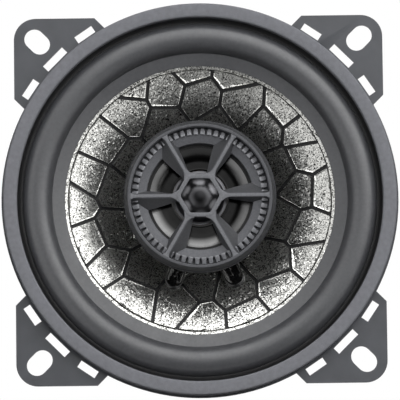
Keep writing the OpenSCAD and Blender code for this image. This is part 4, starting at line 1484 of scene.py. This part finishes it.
    def painted_shade_ring(self) -> Item:
        """Turns a dark ring of painted shade that lies below the turned-up border of the dome's edge.

        Returns:
            The dark ring, which lies just below the border and just inside the clamp ring.
        """
        low = self.shop.reach("tweeter_edge").low
        wall = self.shop.reach("clamp_ring").inner - 0.01
        r = np.linspace(self.shade_ring_inner, self.edge_foot, 9)
        under = pairs(r, self.edge_level(r) - self.film - 0.02)
        high = under[-1, 1] + self.film + 0.1
        outside = [[self.edge_foot + 0.01, high], [wall, high + 0.05], [wall, low], [r[0], low]]
        return make_object("edge_painted_shade_ring", [lathe(np.concatenate([under, outside]), 192)])

    def tooth_ring(self) -> Item:
        """Sets small rounded blocks round the shelf, whose tops rise from the rim's side to the shelf's.

        A tooth is a function of the step along it and of the angle round its section. The section is a
        bar with soft corners: its width and height follow a low power of the angle's cosine and sine.

        Returns:
            All the teeth as one piece.
        """
        along, size = np.array(self.tooth_section).T
        turn = round_steps(8)
        base = self.trough - self.tooth_root
        height = self.tooth_foot + (self.tooth_crest - self.tooth_foot) * along - base
        width = size * (self.tooth_width + self.tooth_spread * along)
        wide, tall = (np.sign(v) * np.abs(v) ** self.tooth_power for v in (np.cos(turn), np.sin(turn)))
        y = width[:, None] * (wide / 2)[None]
        z = base + height[:, None] * (0.5 + 0.5 * size[:, None] * tall[None])
        x = np.broadcast_to((self.rim_inner - self.tooth_gap - self.tooth_length * along)[:, None], y.shape)
        teeth = spun(np.stack([x, y, z], axis=-1), self.teeth, first=0.5)
        return make_object("bezel_teeth", [Surface.from_grids(teeth)], sharp=50.0)

    def spoke_web(self) -> Item:
        """Carries the spokes' section from the hub to the rim, and the hub's section round its hexagon.

        A spoke's section is a narrow face with two flanks. The flanks spread from the hub to the edge of
        the shelf, where they are widest, and draw in again to the rim. The face widens in a fillet at
        both ends. The hub is a rounded bar whose distance from the axis follows a hexagon.

        Returns:
            The spokes and the hub as one piece.
        """
        # Stations along a spoke: radius, level of its foot, reach of the wide flank and of the steep one
        table = np.array([
            (self.hub_opening + 0.3, self.front - 1.4, 1.2, 0.9), (6.4, 9.6, 1.5, 0.7),
            (7.2, 9.45, 1.75, 0.75), (9.0, 9.1, 2.3, 1.0), (11.0, 8.8, 2.85, 1.3),
            (self.shelf_inner - 0.1, self.shelf - 0.15, self.lean, self.back),
            (15.2, self.shelf + 0.35, 2.3, 1.15), (self.rim_inner + 0.3, self.shelf + 0.4, 0.95, 0.75),
        ])
        stations = table[:, 0]
        r = np.unique(np.concatenate([stations, np.linspace(stations[0], stations[-1], 30)]))
        low, lean, back = (np.interp(r, stations, column) for column in table.T[1:])
        # Each fillet adds to the face's half width, more and more steeply towards the hub or the rim
        hub_fillet = 1.1 * np.clip((8.0 - r) / 2.4, 0, 1) ** 2.2
        rim_fillet = 0.7 * np.clip((r - self.rim_inner + 1.3) / 1.6, 0, 1) ** 2.0
        half = self.spoke_width / 2 + hub_fillet + rim_fillet
        lean, back = np.maximum(lean, half + 0.15), np.maximum(back, half + 0.15)
        top, edge = np.full_like(r, self.front - self.spoke_drop), self.spoke_edge
        section = np.stack([pairs(side, level) for side, level in (
            (-back, low), (-half - 0.06, top - 2.2 * edge), (-half + edge * 0.5, top - edge * 0.2),
            (-half + 1.6 * edge, top), (half - 1.6 * edge, top), (half - edge * 0.5, top - edge * 0.2),
            (half + 0.06, top - 2.2 * edge), (lean, low), (lean - 0.3, low - 0.25),
            (-back + 0.25, low - 0.25),
        )], axis=1)
        blade = np.concatenate([np.broadcast_to(r[:, None, None], (*section.shape[:2], 1)), section], axis=2)
        blade = capped(blade, blade[0].mean(axis=0), blade[-1].mean(axis=0))
        blades = Surface.from_grids(spun(blade, self.spokes))
        return make_object("bezel_spokes", [blades, self.hub()], sharp=32.0)

    def hub(self) -> Surface:
        """Gives the hub's ring: a rounded bar carried round a hexagon with softened corners.

        Returns:
            The closed ring. Its reach is the hexagon's apothem over the cosine of the angle from the
            middle of a side, less a square of that angle near the corners.
        """
        wedge = math.pi / self.spokes
        swing = (round_steps(self.segments) % (2 * wedge)) - wedge
        sharp = self.hub_opening * math.cos(wedge) / np.cos(swing)
        near_corner = np.clip((np.abs(swing) - self.hub_soft_from) / self.hub_soft_span, 0, 1)
        low, high = self.front - self.hub_depth, self.front - 0.05
        section = rounded([
            (0.0, low, 0.2), (self.hub_wall + 0.25, low, 0.2), (self.hub_wall, high, 0.2), (0.05, high, 0.2),
        ], steps=4)
        return lathe(section, self.segments, sharp - self.hub_soft * near_corner**2)

    def dome(self) -> Item:
        """Turns the dome: a thin spherical cap on a flat glued rim.

        Returns:
            The dome piece.
        """
        node = self.shop.reach("tweeter_dome")
        radius, rise = node.outer - self.dome_rim, node.high - node.low
        ball = (radius**2 + rise**2) / (2 * rise)
        turn = np.linspace(math.asin(radius / ball), 0.0, 40)
        cap, inside = (
            pairs(size * np.sin(turn), node.high - ball + size * np.cos(turn))
            for size in (ball, ball - self.film)
        )
        level = node.low + self.film
        rim = [[node.outer, node.low], [node.outer, level], [radius + 0.15, level]]
        profile = np.concatenate([rim, cap[1:], inside[::-1][:-1], [[radius - self.film, node.low]]])
        return make_object("gloss_dome", [lathe(profile, 192)])

    def edge(self) -> tuple[Item, np.ndarray]:
        """Turns the annular edge: a shallow dish from its turned-up border down to the dome's rim.

        Returns:
            The piece, and how far each vertex goes with the dome.
        """
        node = self.shop.reach("tweeter_edge")
        level = node.low + self.film
        r = np.linspace(self.edge_foot, node.inner + 0.5, 61)
        seat = [[node.inner + 0.3, level + 0.1], [node.inner, level]]
        path = np.concatenate([pairs(r, self.edge_level(r)), seat])
        item = make_object("dome_edge", [lathe(sheet_profile(path, self.film), 256)])
        return item, (self.edge_foot - axis_distance(item)) / (self.edge_foot - node.inner - 0.4)

    def build(self) -> None:
        """Builds and dresses the assembly."""
        shop, finishes = self.shop, self.shop.finishes
        shop.add(self.skirt_ring(), finishes.housing_painted_shade, Body.FRAME, "tweeter_bezel")
        shop.add(self.rim(), finishes.plastic, Body.FRAME, "tweeter_bezel")
        # A dark ring of painted shade in the gap inside the shelf's opening
        shop.add(self.painted_shade_ring(), finishes.clamp, Body.FRAME)
        shop.add(self.tooth_ring(), finishes.tooth, Body.FRAME, "tweeter_bezel")
        shop.add(self.spoke_web(), finishes.web_painted_light_and_shade, Body.FRAME, "tweeter_bezel")
        shop.add(self.dome(), finishes.film, Body.DOME, "tweeter_dome")
        shop.add_flexing(*self.edge(), finishes.edge_film, Body.DOME, "tweeter_edge")
        shop.dress(finishes.housing_painted_shade, "tweeter_post")
        shop.dress(finishes.cup, "tweeter_cup")
        shop.dress(finishes.zinc, "post_screw", "post_washer", "tweeter_pot", "tweeter_pole_plate")
        shop.dress(finishes.sleeve, "capacitor")
        shop.dress(finishes.plating, "tweeter_magnet")
        shop.dress(finishes.copper, "tweeter_coil")
        shop.dress(finishes.clamp, "clamp_ring")


@dataclass(frozen=True)
class Softbox:
    """A soft lamp aimed at the speaker.

    Attributes:
        place: Where it hangs, in metres.
        size: Its width and height in metres.
        power: Its power in watts.
        mirrored: Whether glossy surfaces mirror it.
    """

    place: Point
    size: tuple[float, float]
    power: float
    mirrored: bool


@dataclass
class Studio:
    """Pale floor, soft lights, white surroundings and the camera.

    Attributes:
        distance: Distance of the camera in metres.
        below: Angle of the camera below the speaker's axis, in degrees.
        roll: Turn of the picture, in degrees.
        pixels_per_mm: Scale of the picture at the speaker's rim.
        picture: Width of the picture in pixels.
        target: Point that the camera looks at, in metres.
        ambient: Strength of the surroundings as light.
        room, room_way: Brightness and direction of the dark room behind the camera, in reflections.
        room_inner, room_outer: Angles in degrees at which the room is darkest and past which it is white.
        floor_level: Height of the floor in metres.
        floor_half, floor_wall: Half the floor's width, and its thickness.
        floor_glow: Strength of the floor's own light.
        flag_half, flag_wall: Half the black card's width, and its thickness.
        flag_span, flag_rise: Where the card starts and ends along the axis, and its height off the floor.
        softboxes: The lamps.
    """

    distance: float = 1.2
    below: float = 6.5
    roll: float = 0.7
    pixels_per_mm: float = 3.892
    picture: int = 400
    sensor: float = 36.0
    target: Point = (0.0, -0.0005, 0.0)
    ambient: float = 0.02
    room: float = 0.045
    room_inner: float = 24.0
    room_outer: float = 31.0
    room_way: Point = (0.03, -0.998, 0.05)
    floor_level: float = -0.165
    floor_half: float = 3000.0
    floor_wall: float = 20.0
    floor_glow: float = 1.05
    flag_half: float = 140.0
    flag_span: tuple[float, float] = (60.0, 420.0)
    flag_rise: float = 8.0
    flag_wall: float = 2.0
    softboxes: tuple[Softbox, ...] = (
        Softbox((-0.75, -0.60, 0.16), (0.4, 0.5), 1.9, False),
        Softbox((0.75, -0.60, 0.18), (0.4, 0.5), 2.0, False),
        Softbox((0.38, -0.70, 0.70), (1.65, 1.65), 13.2, True),
        Softbox((0.0, -1.30, 0.16), (1.2, 0.5), 3.6, False),
        Softbox((-0.42, -1.15, -0.08), (0.14, 0.14), 0.09, True),
        Softbox((0.42, -1.15, -0.08), (0.14, 0.14), 0.09, True),
    )

    def camera(self) -> None:
        """Sets the camera in front of the speaker, a little below its axis."""
        lens = bpy.data.cameras.new("camera")
        lens.sensor_width = self.sensor
        lens.lens = lens.sensor_width * self.distance / (self.picture / self.pixels_per_mm * MM)
        lens.clip_start = 0.05
        item = place("camera", lens)
        dip = math.radians(self.below)
        target = Vector(self.target)
        item.location = target + self.distance * Vector((0.0, -math.cos(dip), -math.sin(dip)))
        look = (target - item.location).to_track_quat("-Z", "Y").to_matrix().to_4x4()
        turn = look @ Matrix.Rotation(math.radians(-self.roll), 4, "Z")
        item.rotation_euler = turn.to_euler()
        bpy.context.scene.camera = item

    def lights(self) -> None:
        """Hangs the softboxes, all aimed at the speaker."""
        for number, box in enumerate(self.softboxes):
            lamp = bpy.data.lights.new(f"softbox_{number}", "AREA")
            lamp.shape = "RECTANGLE"
            lamp.size, lamp.size_y = box.size
            lamp.energy = box.power
            item = place(lamp.name, lamp)
            item.visible_glossy = box.mirrored
            item.location = box.place
            item.rotation_euler = (-Vector(box.place)).to_track_quat("-Z", "Y").to_euler()

    def surroundings(self) -> None:
        """Makes the world white to the camera, white but for a dim front in reflections, and soft as light.

        The dim front is the dark room behind the camera: it grows with the cosine between a reflected
        ray and the way to the front.
        """
        world = bpy.data.worlds.new("studio")
        world.use_nodes = True
        nodes = Nodes(world.node_tree)
        rays = nodes.add("ShaderNodeLightPath").outputs
        ray = nodes.add("ShaderNodeTexCoord").outputs["Generated"]
        way = nodes.add("ShaderNodeVectorMath", {0: ray, 1: self.room_way}, operation="DOT_PRODUCT")
        start, end = (math.cos(math.radians(angle)) for angle in (self.room_outer, self.room_inner))
        front = nodes.remap(
            way.outputs["Value"], 1.0, self.room, start, end, interpolation_type="SMOOTHSTEP"
        )
        level: Socket | float = self.ambient
        for kind, strength in {"Camera": 1.0, "Transmission": 1.0, "Glossy": front}.items():
            mix = nodes.add("ShaderNodeMix", {"Factor": rays[f"Is {kind} Ray"], "A": level, "B": strength})
            level = mix.outputs["Result"]
        nodes.feed(nodes.tree.nodes["Background"], {"Strength": level, "Color": (1.0, 1.0, 1.0, 1.0)})
        bpy.context.scene.world = world

    def floor(self) -> None:
        """Lays a wide pale floor well below the speaker, lit from within so that it stays pale far away."""
        half, level = self.floor_half, self.floor_level / MM
        item = make_object("floor", [slab(half, level, half, -half, self.floor_wall)])
        graph = Graph("floor_paper")
        tone = graph.clouds(400.0, 2.0, (0.43, 0.43, 0.43), (0.45, 0.45, 0.45))
        graph.feed(graph.shader, {
            "Base Color": tone,
            "Emission Color": tone,
            "Emission Strength": self.floor_glow,
            "Roughness": 0.9,
        })
        item.data.materials.append(graph.material)
        item.visible_glossy = False
        item.visible_diffuse = False

    def flag(self) -> None:
        """Lays a black card below the speaker, which shows only in reflections."""
        level = self.floor_level / MM + self.flag_rise
        item = make_object("black_flag", [slab(self.flag_half, level, *self.flag_span, self.flag_wall)])
        graph = Graph("flag_cloth")
        tone = graph.clouds(5.0, 2.0, (0.22, 0.22, 0.22), (0.26, 0.26, 0.26))
        graph.feed(graph.shader, {"Base Color": tone, "Roughness": 1.0})
        item.data.materials.append(graph.material)
        item.visible_camera = False
        item.visible_diffuse = False
        item.visible_shadow = False

    def build(self) -> None:
        """Sets up the whole studio."""
        bpy.context.scene.view_settings.view_transform = "Standard"
        self.camera()
        self.lights()
        self.surroundings()
        self.floor()
        self.flag()


def main() -> None:
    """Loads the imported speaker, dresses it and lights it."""
    logging.basicConfig(level=logging.INFO, format="%(name)s: %(message)s")
    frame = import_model()
    Studio().build()
    shop = Workshop(frame["nodes"], Finishes())
    FrameAssembly(shop).build()
    ConeAssembly(shop).build()
    MotorAssembly(shop).build()
    TerminalAssembly(shop).build()
    TweeterAssembly(shop).build()


if __name__ == "__main__":
    main()
